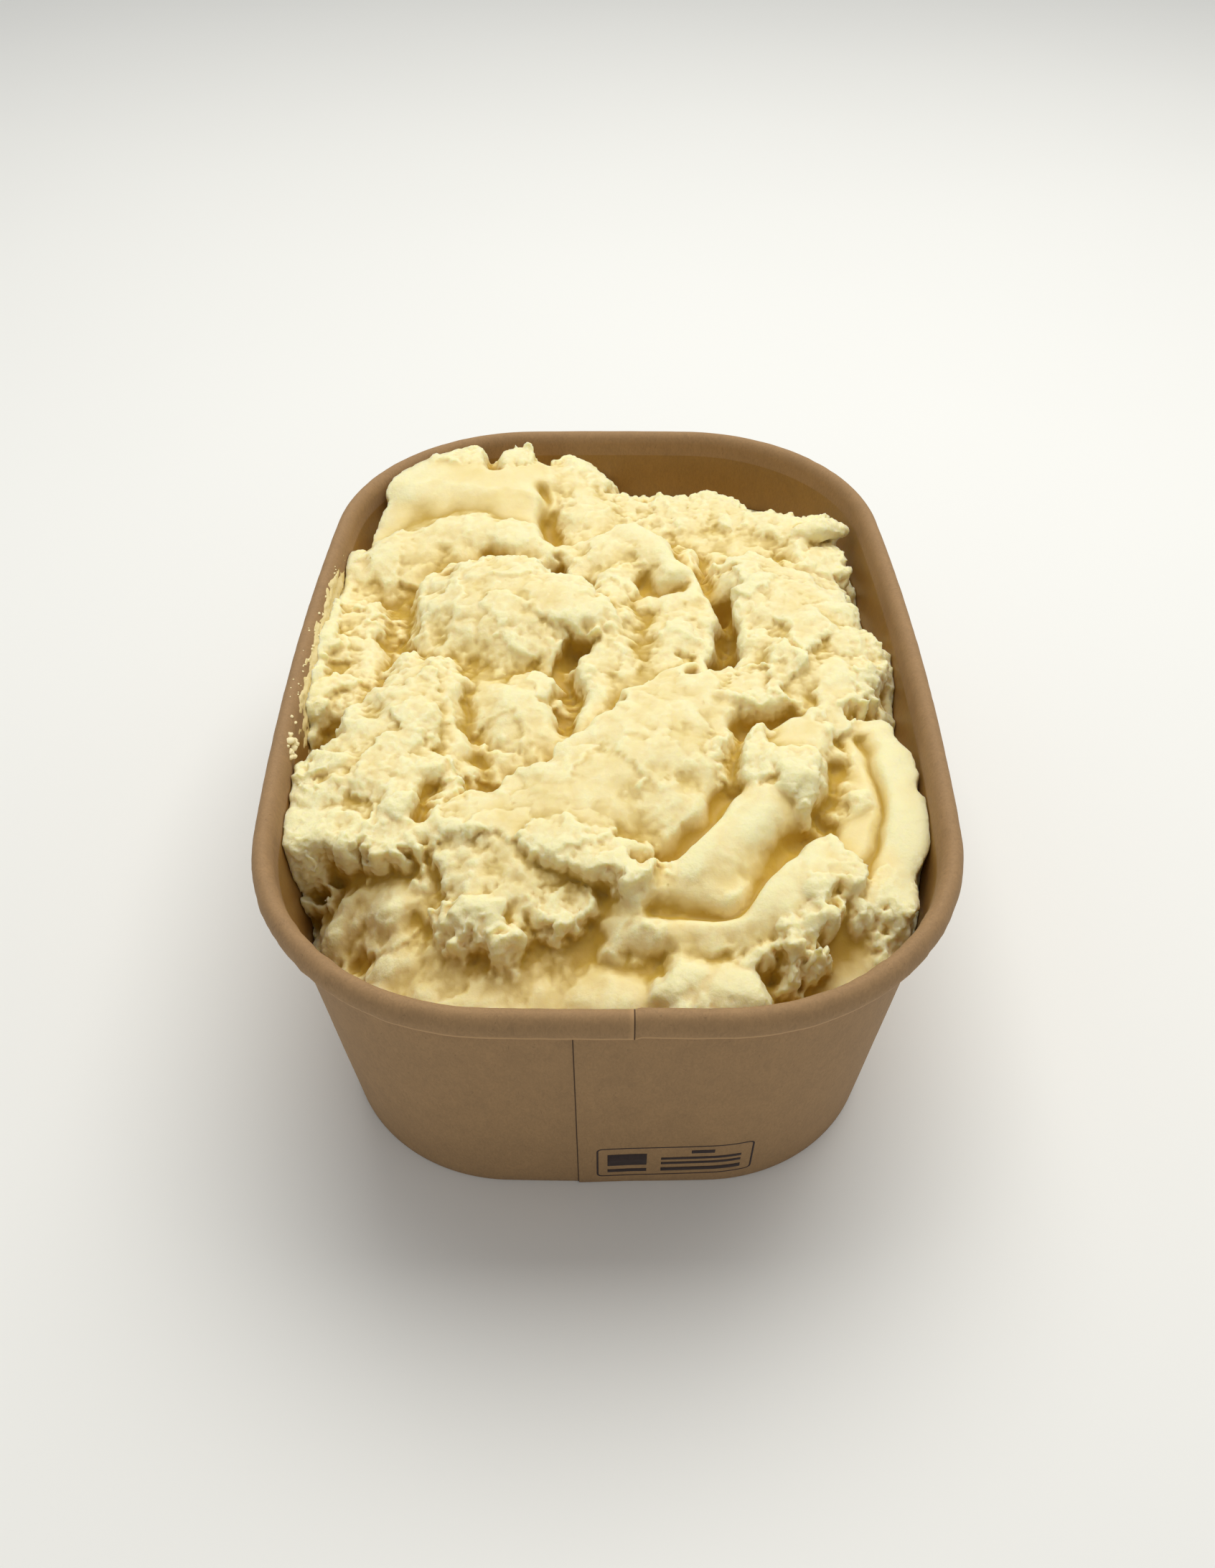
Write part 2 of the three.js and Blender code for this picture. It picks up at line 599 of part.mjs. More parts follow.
function base() {
  const stations = rimDirections(10).map(rimStation);
  const outside = (z) => wallOffset(z) - BOARD - FIT_GAP;
  const skirtFoot = BOARD + FIT_GAP;
  const profile = [
    [outside(PAN_RECESS) - BOARD, PAN_RECESS - BOARD],
    [outside(skirtFoot) - BOARD, skirtFoot],
    [outside(skirtFoot), skirtFoot],
    [outside(PAN_RECESS), PAN_RECESS],
  ];
  return cappedSolid(profile, stations, PAN_RECESS - BOARD, PAN_RECESS);
}

// ---- Mash ----

// The room inside the bowl, clear of the wall and the pan, open upwards.
function mashRoom() {
  const stations = rimDirections(10).map(rimStation);
  const inside = (z) => wallOffset(z) - BOARD - SEAM_STEP - FIT_GAP;
  const floor = PAN_RECESS + FIT_GAP;
  const rollMiddle = BOWL_HEIGHT - ROLL_HEIGHT / 2;
  const ceiling = BOWL_HEIGHT + 20;
  const profile = [
    [inside(floor), floor],
    [inside(rollMiddle), rollMiddle],
    [inside(ceiling), ceiling],
  ];
  return toManifold(cappedSolid(profile, stations, floor, ceiling));
}

// ---- Noise ----

const HASH_PRIMES = [374761393, 668265263, 1440662683];
const HASH_MIXERS = [2246822519, 3266489917];

// A scrambled 32-bit number for each cell of the noise.
function cellHash(ix, iy, iz) {
  const [p, q, r] = HASH_PRIMES;
  let hash = Math.imul(ix, p) ^ Math.imul(iy, q) ^ Math.imul(iz, r);
  hash = Math.imul(hash ^ (hash >>> 15), HASH_MIXERS[0]);
  hash = Math.imul(hash ^ (hash >>> 13), HASH_MIXERS[1]);
  return (hash ^ (hash >>> 16)) >>> 0;
}

// Three numbers from -1 to 1 out of one scrambled number, ten bits each.
function hashParts(hash) {
  return [0, 10, 20].map((shift) => ((hash >>> shift) & 1023) / 511.5 - 1);
}

const CELL_CORNERS = [0, 1].flatMap((i) => [0, 1].flatMap((j) => [0, 1].map((k) => [i, j, k])));

// Smooth gradient noise of unit grain, from about -1 to 1.
function noiseAt(...place) {
  const cell = place.map(Math.floor);
  const inside = place.map((value, axis) => value - cell[axis]);
  const ease = inside.map((t) => THREE.MathUtils.smootherstep(t, 0, 1));
  let total = 0;
  for (const corner of CELL_CORNERS) {
    const [ix, iy, iz] = corner.map((step, axis) => cell[axis] + step);
    const slope = hashParts(cellHash(ix, iy, iz));
    const weight = corner.reduce((product, step, axis) => product * (step ? ease[axis] : 1 - ease[axis]), 1);
    const rise = corner.reduce((sum, step, axis) => sum + slope[axis] * (inside[axis] - step), 0);
    total += weight * rise;
  }
  return total;
}

// Chunks with creases between them, 0 in a crease to 1 on top, and a level from -1 to 1 for each.
function chunkAt(...place) {
  const cell = place.map(Math.floor);
  const scatter = 0.45;
  const cellsRound = 3 ** 3;
  let nearest = Infinity;
  let level = 0;
  for (let i = 0; i < cellsRound; i += 1) {
    const near = cell.map((value, axis) => value + (Math.floor(i / 3 ** axis) % 3) - 1);
    const parts = hashParts(cellHash(...near));
    const middle = near.map((value, axis) => value + 0.5 + scatter * parts[axis]);
    const gap = middle.reduce((sum, value, axis) => sum + (value - place[axis]) ** 2, 0);
    if (gap < nearest) {
      nearest = gap;
      level = THREE.MathUtils.clamp(2 * parts[0] * parts[1], -1, 1);
    }
  }
  return { top: THREE.MathUtils.clamp(1 - nearest, 0, 1), level };
}

// Coarse bumps with finer ones on them.
function bumpAt(x, y, z) {
  const coarse = noiseAt(x / BUMP_SIZE, y / BUMP_SIZE, z / BUMP_SIZE);
  const fine = noiseAt(x / FINE_BUMP_SIZE, y / FINE_BUMP_SIZE, z / FINE_BUMP_SIZE);
  return COARSE_BUMP * coarse + FINE_BUMP * fine;
}

// ---- Height of the heap ----

// Fill level against the wall in the direction of a point seen from the middle.
function fillLevel(x, y) {
  const bearing = THREE.MathUtils.radToDeg(Math.atan2(y, x));
  const after = Math.max(FILL_LEVEL.findIndex(([angle]) => angle >= bearing), 1);
  const [endAngle, endLevel] = FILL_LEVEL[after];
  const [startAngle, startLevel] = FILL_LEVEL[after - 1];
  const t = THREE.MathUtils.smoothstep(bearing, startAngle, endAngle);
  return THREE.MathUtils.lerp(startLevel, endLevel, t);
}

// How far out a point lies, from 0 in the middle to 1 at the rim.
function spreadAt(x, y) {
  const n = 3;
  const across = Math.abs(x) / (BOWL_WIDTH / 2 - ROLL_WIDTH);
  const along = Math.abs(y) / (BOWL_LENGTH / 2 - ROLL_WIDTH);
  return Math.min((across ** n + along ** n) ** (1 / n), 1);
}

// A line through the given points, as short straight pieces.
function traceLine(points) {
  const through = points.map(([x, y, z = 0]) => new THREE.Vector3(x, y, z));
  return new THREE.CatmullRomCurve3(through, false, 'catmullrom', 0.5).getPoints(6 * (points.length - 1));
}

// Where a point lies along a traced line: distance to its left, distance past its ends, and height.
function placeBeside(line, x, y) {
  let best = { gap: Infinity };
  for (let i = 0; i + 1 < line.length; i += 1) {
    const a = line[i];
    const b = line[i + 1];
    const dx = b.x - a.x;
    const dy = b.y - a.y;
    const length = Math.hypot(dx, dy);
    const raw = ((x - a.x) * dx + (y - a.y) * dy) / length ** 2;
    const t = THREE.MathUtils.clamp(raw, 0, 1);
    const gap = Math.hypot(x - a.x - dx * t, y - a.y - dy * t);
    if (gap < best.gap) {
      const left = ((y - a.y) * dx - (x - a.x) * dy) / length;
      const outside = (i === 0 && raw < 0) || (i + 2 === line.length && raw > 1);
      const past = outside ? Math.abs(raw - t) * length : 0;
      best = { gap, left, past, z: a.z + (b.z - a.z) * t };
    }
  }
  return best;
}

// A lobe with its crest traced, and the box of all the places that it reaches.
function tracedLobe(entry) {
  const line = traceLine(entry.crest);
  const flat = line.map((point) => new THREE.Vector2(point.x, point.y));
  const bounds = new THREE.Box2().setFromPoints(flat).expandByScalar(Math.max(...entry.sides) + LOBE_MARGIN);
  return { ...entry, line, bounds };
}

const TRACED_LOBES = LOBES.map(tracedLobe);
const TRACED_GROOVES = GROOVES.map((entry) => ({ ...entry, line: traceLine(entry.path) }));

// Height of one lobe's surface above a place.
function lobeTop({ line, sides, drops, flanks }, x, y) {
  const place = placeBeside(line, x, y);
  const side = place.left > 0 ? 0 : 1;
  const half = sides[side];
  const across = Math.abs(place.left / half) ** CORNERING;
  const along = (place.past / Math.min(...sides)) ** CORNERING;
  const reach = (across + along) ** (1 / CORNERING);
  return place.z - drops[side] * Math.min(reach, 1) ** 2 - flanks[side] * Math.max(reach - 1, 0) * half;
}

// The ground and the lobes softly joined, with the torn edges moved by so much.
function lobesAt(x, y, ragX, ragY) {
  const out = spreadAt(x, y);
  let height = THREE.MathUtils.lerp(MIDDLE_LEVEL, fillLevel(x, y), out ** 2);
  let bump = 1;
  let crumbly = GROUND_CRUMBLY;
  for (const entry of TRACED_LOBES) {
    if (entry.bounds.containsPoint(new THREE.Vector2(x, y))) {
      const share = THREE.MathUtils.lerp(0.15, 1, entry.crumbly);
      const top = lobeTop(entry, x + share * ragX, y + share * ragY);
      const blend = BLEND * (1 + SMOOTH_BLEND * (1 - entry.crumbly));
      const overlap = Math.max(blend - Math.abs(top - height), 0) / blend;
      if (top > height) ({ bump, crumbly } = entry);
      height = Math.max(top, height) + (overlap * overlap * blend) / 4;
    }
  }
  return { height, bump, crumbly };
}

// Two waves of noise across a place, for moving it along X and along Y.
function wavesAt(x, y, z, size, reach, seeds) {
  return seeds.map((seed) => reach * noiseAt(x / size, y / size, z / size + seed));
}

// Height of the top of the heap: the torn lobes, less the grooves, with bumps and chunks.
function heapHeight(x, y) {
  const level = LEVEL_SHARE * lobesAt(x, y, 0, 0).height;
  const [bendX, bendY] = wavesAt(x, y, level, TEAR_SIZE, TEAR_REACH, BEND_SEEDS);
  const [ragX, ragY] = wavesAt(x, y, level, RAG_SIZE, RAG_REACH, RAG_SEEDS);
  const movedX = x + bendX;
  const movedY = y + bendY;
  const lobes = lobesAt(movedX, movedY, ragX, ragY);
  let { height } = lobes;
  for (const { line, width, depth } of TRACED_GROOVES) {
    const { gap } = placeBeside(line, movedX, movedY);
    height -= depth * Math.exp(-((gap / width) ** 2));
  }
  const tornX = movedX + CHUNK_RAG * ragX;
  const tornY = movedY + CHUNK_RAG * ragY;
  const chunk = chunkAt(tornX / CHUNK_SIZE, tornY / CHUNK_SIZE, 1);
  const torn = CHUNK_STEP * (chunk.level + 1.2 * (chunk.top - 0.8));
  const bump = lobes.bump * THREE.MathUtils.lerp(0.3, 1, lobes.crumbly);
  return height + bump * bumpAt(x, y, height) + lobes.crumbly * torn;
}

// The heap's top as a staggered grid of points, closed by a point far below.
function heap() {
  const rowStep = (GRID_STEP * Math.sqrt(3)) / 2;
  const columns = Math.ceil((BOWL_WIDTH + 12) / GRID_STEP);
  const rows = Math.ceil((BOWL_LENGTH + 12) / rowStep);
  const points = [];
  for (let r = 0; r <= rows; r += 1) {
    for (let c = 0; c <= columns; c += 1) {
      const x = (c - columns / 2 + (r % 2 === 0 ? -0.25 : 0.25)) * GRID_STEP;
      const y = (r - rows / 2) * rowStep;
      points.push([x, y, heapHeight(x, y)]);
    }
  }
  const triangles = [];
  const at = (r, c) => r * (columns + 1) + c;
  for (let r = 0; r < rows; r += 1) {
    for (let c = 0; c < columns; c += 1) {
      const [a, b, d, e] = [at(r, c), at(r, c + 1), at(r + 1, c), at(r + 1, c + 1)];
      if (r % 2 === 0) triangles.push(a, b, d, b, e, d);
      else triangles.push(a, b, e, a, e, d);
    }
  }
  const border = [];
  for (let c = 0; c < columns; c += 1) border.push(at(0, c));
  for (let r = 0; r < rows; r += 1) border.push(at(r, columns));
  for (let c = columns; c > 0; c -= 1) border.push(at(rows, c));
  for (let r = rows; r > 0; r -= 1) border.push(at(r, 0));
  const below = points.push([0, 0, -10 * BOWL_HEIGHT]) - 1;
  border.forEach((corner, i) => triangles.push(corner, below, border[(i + 1) % border.length]));
  return toManifold(geometryFrom(points, triangles));
}

// One lip: a ball stretched along its crest and roughened.
function lip({ crest, width, depth, bump }) {
  const curve = new THREE.CatmullRomCurve3(crest.map((p) => new THREE.Vector3(...p)));
  const length = curve.getLength();
  const halfLength = length / 2 + width;
  const spread = (4 * Math.PI * (halfLength * width + halfLength * depth + width * depth)) / 3;
  const detail = Math.round(Math.sqrt(spread / (0.43 * LIP_FACET ** 2) / 20)) - 1;
  const ball = new THREE.IcosahedronGeometry(1, THREE.MathUtils.clamp(detail, 1, 6));
  ball.deleteAttribute('normal');
  ball.deleteAttribute('uv');
  const geometry = mergeVertices(ball, 1e-4);
  const position = geometry.attributes.position;
  const v = new THREE.Vector3();
  for (let i = 0; i < position.count; i += 1) {
    v.fromBufferAttribute(position, i);
    const along = length / 2 + v.x * halfLength;
    const t = THREE.MathUtils.clamp(along / length, 0, 1);
    const tangent = curve.getTangentAt(t);
    const side = new THREE.Vector3(-tangent.y, tangent.x, 0).normalize();
    const point = curve.getPointAt(t).addScaledVector(tangent, along - t * length);
    point.addScaledVector(side, v.y * width);
    point.z += (v.z - 1) * depth;
    const outward = side.multiplyScalar(v.y / width).addScaledVector(tangent, v.x / halfLength);
    outward.z += v.z / depth;
    point.addScaledVector(outward.normalize(), bump * bumpAt(point.x, point.y, point.z));
    position.setXYZ(i, point.x, point.y, point.z);
  }
  return toManifold(geometry);
}

// The heap and its lips as one body. Hollows sealed between them are filled.
function mash() {
  let body = heap();
  for (const entry of LIPS) body = body.add(lip(entry));
  const pieces = body.intersect(mashRoom()).decompose();
  const largest = pieces.reduce((best, piece) => (piece.volume() > best.volume() ? piece : best));
  return fromManifold(largest);
}

// ---- Assembly ----

function part(name, geometry, material) {
  const mesh = new THREE.Mesh(geometry, material);
  mesh.name = name;
  return mesh;
}

const group = new THREE.Group();
group.add(part('sidewall', sidewall(), MATERIALS.kraft));
group.add(part('base', base(), MATERIALS.kraftInner));
group.add(part('mash', mash(), MATERIALS.mash));

export default group;
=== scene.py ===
"""A side of mashed potato in a rectangular kraft-paper bowl, laid out as an add-on and run as a script.

Sizes in the tables and constants are in millimetres. The finished meshes are in metres.
"""
import math

import bmesh
import bpy
import numpy as np
from bpy.props import FloatProperty, FloatVectorProperty, PointerProperty, StringProperty
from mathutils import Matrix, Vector


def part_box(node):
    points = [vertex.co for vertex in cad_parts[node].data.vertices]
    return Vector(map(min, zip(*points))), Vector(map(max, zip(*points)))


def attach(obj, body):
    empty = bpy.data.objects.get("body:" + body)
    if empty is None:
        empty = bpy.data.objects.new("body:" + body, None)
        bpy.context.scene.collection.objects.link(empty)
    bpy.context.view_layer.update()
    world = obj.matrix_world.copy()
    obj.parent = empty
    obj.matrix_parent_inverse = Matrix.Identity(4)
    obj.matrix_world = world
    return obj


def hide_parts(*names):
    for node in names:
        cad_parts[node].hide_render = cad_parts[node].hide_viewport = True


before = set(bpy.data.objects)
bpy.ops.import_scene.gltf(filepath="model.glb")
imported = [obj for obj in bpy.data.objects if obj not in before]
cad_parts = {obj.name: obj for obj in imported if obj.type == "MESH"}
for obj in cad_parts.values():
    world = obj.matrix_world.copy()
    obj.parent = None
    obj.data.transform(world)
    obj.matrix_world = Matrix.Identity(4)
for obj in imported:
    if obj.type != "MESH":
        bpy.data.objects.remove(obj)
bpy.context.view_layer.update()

bl_info = {
    "name": "Mashed potato side in a paper bowl",
    "version": (1, 0, 0),
    "blender": (4, 5, 0),
    "location": "3D View > Sidebar > Mash side",
    "description": "Builds the bowl, its printed mark, the heap of mash, the crumbs and the stage",
    "category": "Object",
}

MM = 0.001
BODY = "root"

# ---- The bowl. Its sizes are the solid model's, but its laps and its clearances are finer ----

RIM_LOW, RIM_HIGH = (np.array(corner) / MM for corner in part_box("sidewall"))
WIDTH, LENGTH, HEIGHT = RIM_HIGH - RIM_LOW
CORNER_RADIUS = 41.5
LONG_TURN = math.radians(3.9)  # each long side bows this much from its middle to its end
SHORT_TURN = math.radians(1.5)
WALL_TAPER = 6.4
BOARD = 0.6
ROLL_WIDTH = 3.6
ROLL_HEIGHT = 5.6
HEM_HEIGHT = 5.4
FIT_GAP = 0.3
PAN_RECESS = 6.8
SEAM_STEP = 0.3
OUTER_LAP_X = -5.1
INNER_LAP_X = 3.8
LAP_FADE = 9.0
LAP_EDGE = 0.22  # width of the step beside a sheet's cut edge, coloured dark as painted shade
LAP_ZONE = -60.0  # the laps lie nearer to the front than this
MASH_GAP = 0.15  # air between the mash and the wall
WALL_WAVE = 0.12  # how far the board waves in and out
WAVE_SIZE = 23.0
PRINT_TILT = 0.033  # the print runs along the cone of the wall, a little uphill
PRINT_LIFT = 0.03  # how proud of the board the ink stands

# The printed frame: its sides, its corners' radius and its line, then its bars as left, right, low, high.
FRAME_SIDES = (-1.9, 25.3, 3.0, 14.0)
FRAME_CORNER = 1.1
FRAME_LINE = 0.32
FRAME_BARS = (
    (0, 6.8, 7.2, 11.6), (0, 6.8, 4.6, 5.8), (14.5, 18.5, 11.2, 12.4), (9.3, 23.2, 9, 9.9),
    (9.3, 23.2, 7.2, 8.1), (9.3, 23.2, 4.6, 5.9),
)

# The smear of mash on the left wall: middle and half length along the bowl, its lower edge, how far
# over the roll it reaches in degrees, and the share of its height that lies on the wall.
SMEAR_MIDDLE, SMEAR_REACH = 8.0, 30.0
SMEAR_FOOT = 46.0
SMEAR_TURN = 52
SMEAR_ON_WALL = 0.55
SMEAR_THICK = 0.9  # its thickest part
SMEAR_SUNK = 0.15  # how deep its thin edge lies inside the board

# ---- The heap of mash. Its lobes are the solid model's, and its finer rags and tufts are added ----

BUMP_SIZE = 8.0
COARSE_BUMP = 1.1
FINE_BUMP = 0.55
TEAR_SIZE = 7.0
TEAR_REACH = 2.4
RAGS = ((5.0, 4.0), (2.4, 1.9), (1.2, 1.1), (0.7, 0.6))  # size and reach of the rags along a torn edge
LEVEL_SHARE = 0.5  # how fast a torn edge changes with height, against along it
BLEND = 1.0
MIDDLE_LEVEL = 47.0
LEAN = 0.62  # how far a steep face leans out, for each millimetre above the middle of the step
CHUNKS = ((8.5, 0.85), (4.2, 0.35))  # size of the torn chunks, and how far they stand out
CHUNK_RAG = 0.8  # share of the rags in the chunks' outlines

# Fill level against the wall: bearing in degrees from +X, height.
FILL_LEVEL = (
    (-180, 54), (-168, 50), (-152, 45), (-146, 36), (-138, 27), (-124, 33), (-106, 38), (-90, 40),
    (-68, 40), (-56, 36), (-46, 28), (-36, 30), (-18, 42), (8, 42), (27, 45), (52, 47), (72, 43),
    (89, 45), (104, 54), (126, 54), (138, 47), (150, 53), (180, 54),
)

# The lobes that the spoon left, later ones over earlier ones: points along the crest, half widths to
# its left and right, how far the top falls to each side, how steep the flank is beyond that, height
# of the coarse bumps, and how crumbly it is.
LOBES = {
    "back_left_slab": (
        ((-34, 46, 55.5), (-32, 54, 57.5), (-31, 61, 60)),
        (17, 19), (1, 2), (4, 1.5), 0.4, 0.05,
    ),
    "back_edge": (
        ((-39, 72, 60), (-30, 75, 60.5), (-21, 74.5, 60.5)),
        (2.5, 3), (0.5, 0.5), (3, 1), 0.5, 0.9,
    ),
    "back_centre": (
        ((-10, 70, 58), (-5, 60, 56.5), (-4, 45, 54)),
        (8, 7), (2, 3), (1.5, 1.5), 0.8, 0.6,
    ),
    "back_ridge": (
        ((3, 64, 55), (14, 62, 54.5), (24, 63, 54.5), (30, 58, 54.5), (38, 54, 55), (45, 51, 57)),
        (3, 16), (1.5, 4), (3, 0.8), 1, 0.8,
    ),
    "back_ridge_front": (
        ((18, 52, 53.5), (30, 45, 54)),
        (9, 9), (2, 3), (1, 1), 0.8, 0.7,
    ),
    "corner_lump": (
        ((41, 50, 56), (42, 40, 55), (42, 30, 54)),
        (7.5, 9), (2, 2.5), (2, 1.2), 1, 0.8,
    ),
    "left_shelf": (
        ((-56, 36, 55.5), (-50, 38, 56.5), (-44, 42, 56.5)),
        (4, 15), (1, 6), (2, 0.6), 0.6, 0.5,
    ),
    "curving_ridge": (
        ((-50, 38, 57), (-42, 42.5, 58), (-34, 46, 59), (-26, 46.5, 59.5), (-19, 44, 59), (-12, 40, 57.5)),
        (3.5, 11), (1.2, 5), (1, 0.9), 0.5, 0.45,
    ),
    "great_dome": (
        ((-22, 22, 61.5), (-22, 12, 60.5), (-24, 0, 55)),
        (12.5, 15), (3, 4), (4, 1), 0.8, 0.6,
    ),
    "dome_nose": (
        ((-20, 21, 61.5), (-9, 18, 61.5), (-4.5, 15, 61)),
        (5.5, 6), (1.5, 1.5), (2, 4), 0.7, 0.6,
    ),
    "arch": (
        ((-9, 38.5, 57), (0, 42, 58), (8, 43.5, 59), (13, 38, 59), (16.5, 30, 58), (20, 22, 57.5)),
        (2.5, 14), (0.8, 5), (1.5, 0.9), 0.7, 0.5,
    ),
    "arch_lump": (
        ((13, 26, 57.5), (14, 12, 57), (12, 0, 55)),
        (8, 7), (2.5, 2.5), (0.9, 1.2), 1, 0.7,
    ),
    "middle_ridge": (
        ((2, 30, 58), (1, 18, 58.5), (-0.5, 6, 58), (-2.5, -6, 56.5), (-5.5, -16, 55)),
        (3.5, 3.5), (1.5, 1.5), (0.6, 1.5), 0.6, 0.7,
    ),
    "valley_floor": (
        ((-8, 13, 52.5), (-8.5, 3, 52), (-9, -7, 51.5)),
        (3.5, 4.5), (1, 1), (1, 1), 0.6, 0.3,
    ),
    "middle_lump": (
        ((5, -4, 55), (4, -13, 54.5)),
        (6, 6), (1.5, 1.5), (0.8, 0.8), 0.5, 0.3,
    ),
    "right_dome": (
        ((30, 24, 59), (36, 14, 60), (38, 2, 59)),
        (13, 13), (3, 4), (2, 1.5), 1, 0.7,
    ),
    "right_crumbs": (
        ((36, 3, 60), (45, 6, 59)),
        (7, 6), (2, 2), (1.2, 1.2), 1.4, 1,
    ),
    "right_shelf": (
        ((18, -8, 58), (32, -6, 58.5), (46, -3, 58)),
        (4, 7), (1, 2), (1, 3), 1, 0.8,
    ),
    "hanging_rag": (
        ((44, -5, 59), (42, -12, 58.5), (40.5, -17, 57.5)),
        (3.5, 3.5), (0.5, 0.5), (3, 3), 0.6, 0.8,
    ),
    "right_wall_low": (
        ((49, -4, 50), (48, -16, 50)),
        (4, 4), (1.5, 1.5), (1, 1), 0.8, 0.5,
    ),
    "left_wall_back": (
        ((-54, 30, 54), (-53, 19, 56), (-50, 14, 56)),
        (7, 4), (2, 1.5), (0.7, 1.5), 1, 0.9,
    ),
    "left_wall_smear": (
        ((-56.5, 22, 57), (-57, 5, 58), (-57, -8, 57)),
        (2.5, 3), (0.5, 1), (2, 2), 0.8, 1,
    ),
    "left_wall_mid": (
        ((-48, 9, 55), (-47, 3, 55)),
        (6, 5), (1.5, 1.5), (1, 1.5), 1, 0.9,
    ),
    "left_wall_front": (
        ((-53, 8, 56.5), (-53, -8, 56), (-53, -12, 55)),
        (7, 4), (2, 2), (0.8, 1.2), 1, 1,
    ),
    "left_middle": (
        ((-36, -4, 58.5), (-39, -14, 59), (-42, -25, 58)),
        (9, 8), (2.5, 2.5), (2, 2), 0.6, 0.9,
    ),
    "left_middle_right": (
        ((-30, -6, 57.5), (-28.5, -16, 56), (-27, -26, 54)),
        (5, 5.5), (1.5, 1.5), (1, 1), 0.6, 0.8,
    ),
    "left_front": (
        ((-48, -30, 57.5), (-40, -31, 58), (-32, -31, 57.5)),
        (6, 14), (1.5, 3), (1.5, 4), 0.8, 1,
    ),
    "wedge": (
        ((-17, -8, 57), (-16, -18, 55), (-17, -27, 51)),
        (7, 7.5), (1.5, 2), (2, 1.2), 0.7, 0.5,
    ),
    "leaf_lump": (
        ((-29, -34, 53), (-22, -36, 53)),
        (3.5, 4), (1, 1), (1, 2), 0.5, 0.4,
    ),
    "diagonal_roll": (
        ((-18, -42, 57), (-4, -34, 58.5), (6, -24, 59.5), (12, -15, 59), (18, -9, 58)),
        (10, 16), (1.5, 5), (3, 2), 0.9, 0.45,
    ),
    "front_centre": (
        ((-24, -42, 57), (-22, -49, 56), (-21, -55, 54)),
        (8, 6.5), (1.5, 2), (1.5, 2.4), 1, 0.8,
    ),
    "front_mid": (
        ((-12, -46, 56), (-10, -54, 54)),
        (7, 5), (1.5, 2), (2, 2), 1, 0.9,
    ),
    "white_tongue": (
        ((-12, -44, 58), (-4, -47.5, 58.5), (5, -50, 58)),
        (2.5, 4), (0.5, 0.5), (1, 3), 0.8, 0.9,
    ),
    "long_roll": (
        ((36, -20, 57.5), (30, -31, 58), (22, -41, 57), (14, -49, 55.5), (9, -54, 53.5)),
        (10, 9), (8, 3.5), (1.2, 0.9), 0.5, 0.15,
    ),
    "front_knob": (
        ((6.5, -54, 55), (8, -57.5, 54)),
        (3, 3), (1, 1), (1, 1.5), 0.5, 0.5,
    ),
    "long_roll_crown": (
        ((24, -24, 59.5), (31, -30, 59.5)),
        (6, 6), (2, 2), (1.2, 1.2), 1.2, 1,
    ),
    "crown_right": (
        ((39, -20, 57.5), (40, -33, 56.5)),
        (4, 5), (2, 2), (1.5, 1.2), 0.8, 0.7,
    ),
    "wall_fold_inner": (
        ((44, -25, 55), (45, -36, 54), (42, -46, 53), (38, -54, 52)),
        (4, 7), (1.2, 3), (0.8, 1), 0.2, 0.05,
    ),
    "wall_fold": (
        ((48, -18, 56), (50.5, -28, 56), (50, -40, 55), (46.5, -53, 53)),
        (3, 4), (1, 1.2), (3, 1.2), 0.2, 0.05,
    ),
    "fold_end": (
        ((46, -51, 53.5), (42, -56, 53)),
        (3, 3), (1, 1), (1.5, 3), 0.6, 0.8,
    ),
    "front_tongue": (
        ((35, -51, 56.5), (28, -55, 55.5), (18, -58, 53.5), (5, -58, 51.5)),
        (6, 8), (3, 4), (2.5, 1), 0.5, 0.2,
    ),
    "tongue_edge": (
        ((38, -51, 56.5), (34, -57, 56), (29, -62, 54)),
        (3, 3), (0.5, 0.5), (2.5, 1), 0.8, 0.9,
    ),
    "low_left_back": (
        ((-41, -48, 47), (-35, -50, 49), (-27, -54, 48.5)),
        (6, 4.5), (1, 2.5), (0.5, 1.6), 0.8, 0.4,
    ),
    "low_left": (
        ((-38, -56, 42.5), (-32, -61, 44), (-24, -65, 44)),
        (7, 4), (0.5, 2), (0.3, 1.6), 0.8, 0.4,
    ),
    "low_back": (
        ((-26, -59, 46.5), (-13, -59, 47), (-3, -60, 46)),
        (6, 7), (1, 2), (0.5, 0.5), 1, 0.4,
    ),
    "low_middle": (
        ((-24, -69, 43.5), (-9, -70, 43.5)),
        (7, 6), (1, 2), (0.4, 0.8), 0.9, 0.4,
    ),
    "low_yellow_lump": (
        ((1, -68.5, 46.5), (6, -69, 46.5)),
        (5, 5), (2, 2), (1, 1), 0.5, 0.2,
    ),
    "low_white_lump": (
        ((12.5, -68, 50.5), (19.5, -69, 50)),
        (5, 5), (2.5, 2.5), (2, 2), 0.5, 0.4,
    ),
    "low_right": (
        ((28, -66, 42), (38, -62, 42), (45, -55, 40)),
        (6, 6), (1.5, 1.5), (0.8, 1.5), 1.6, 1,
    ),
}

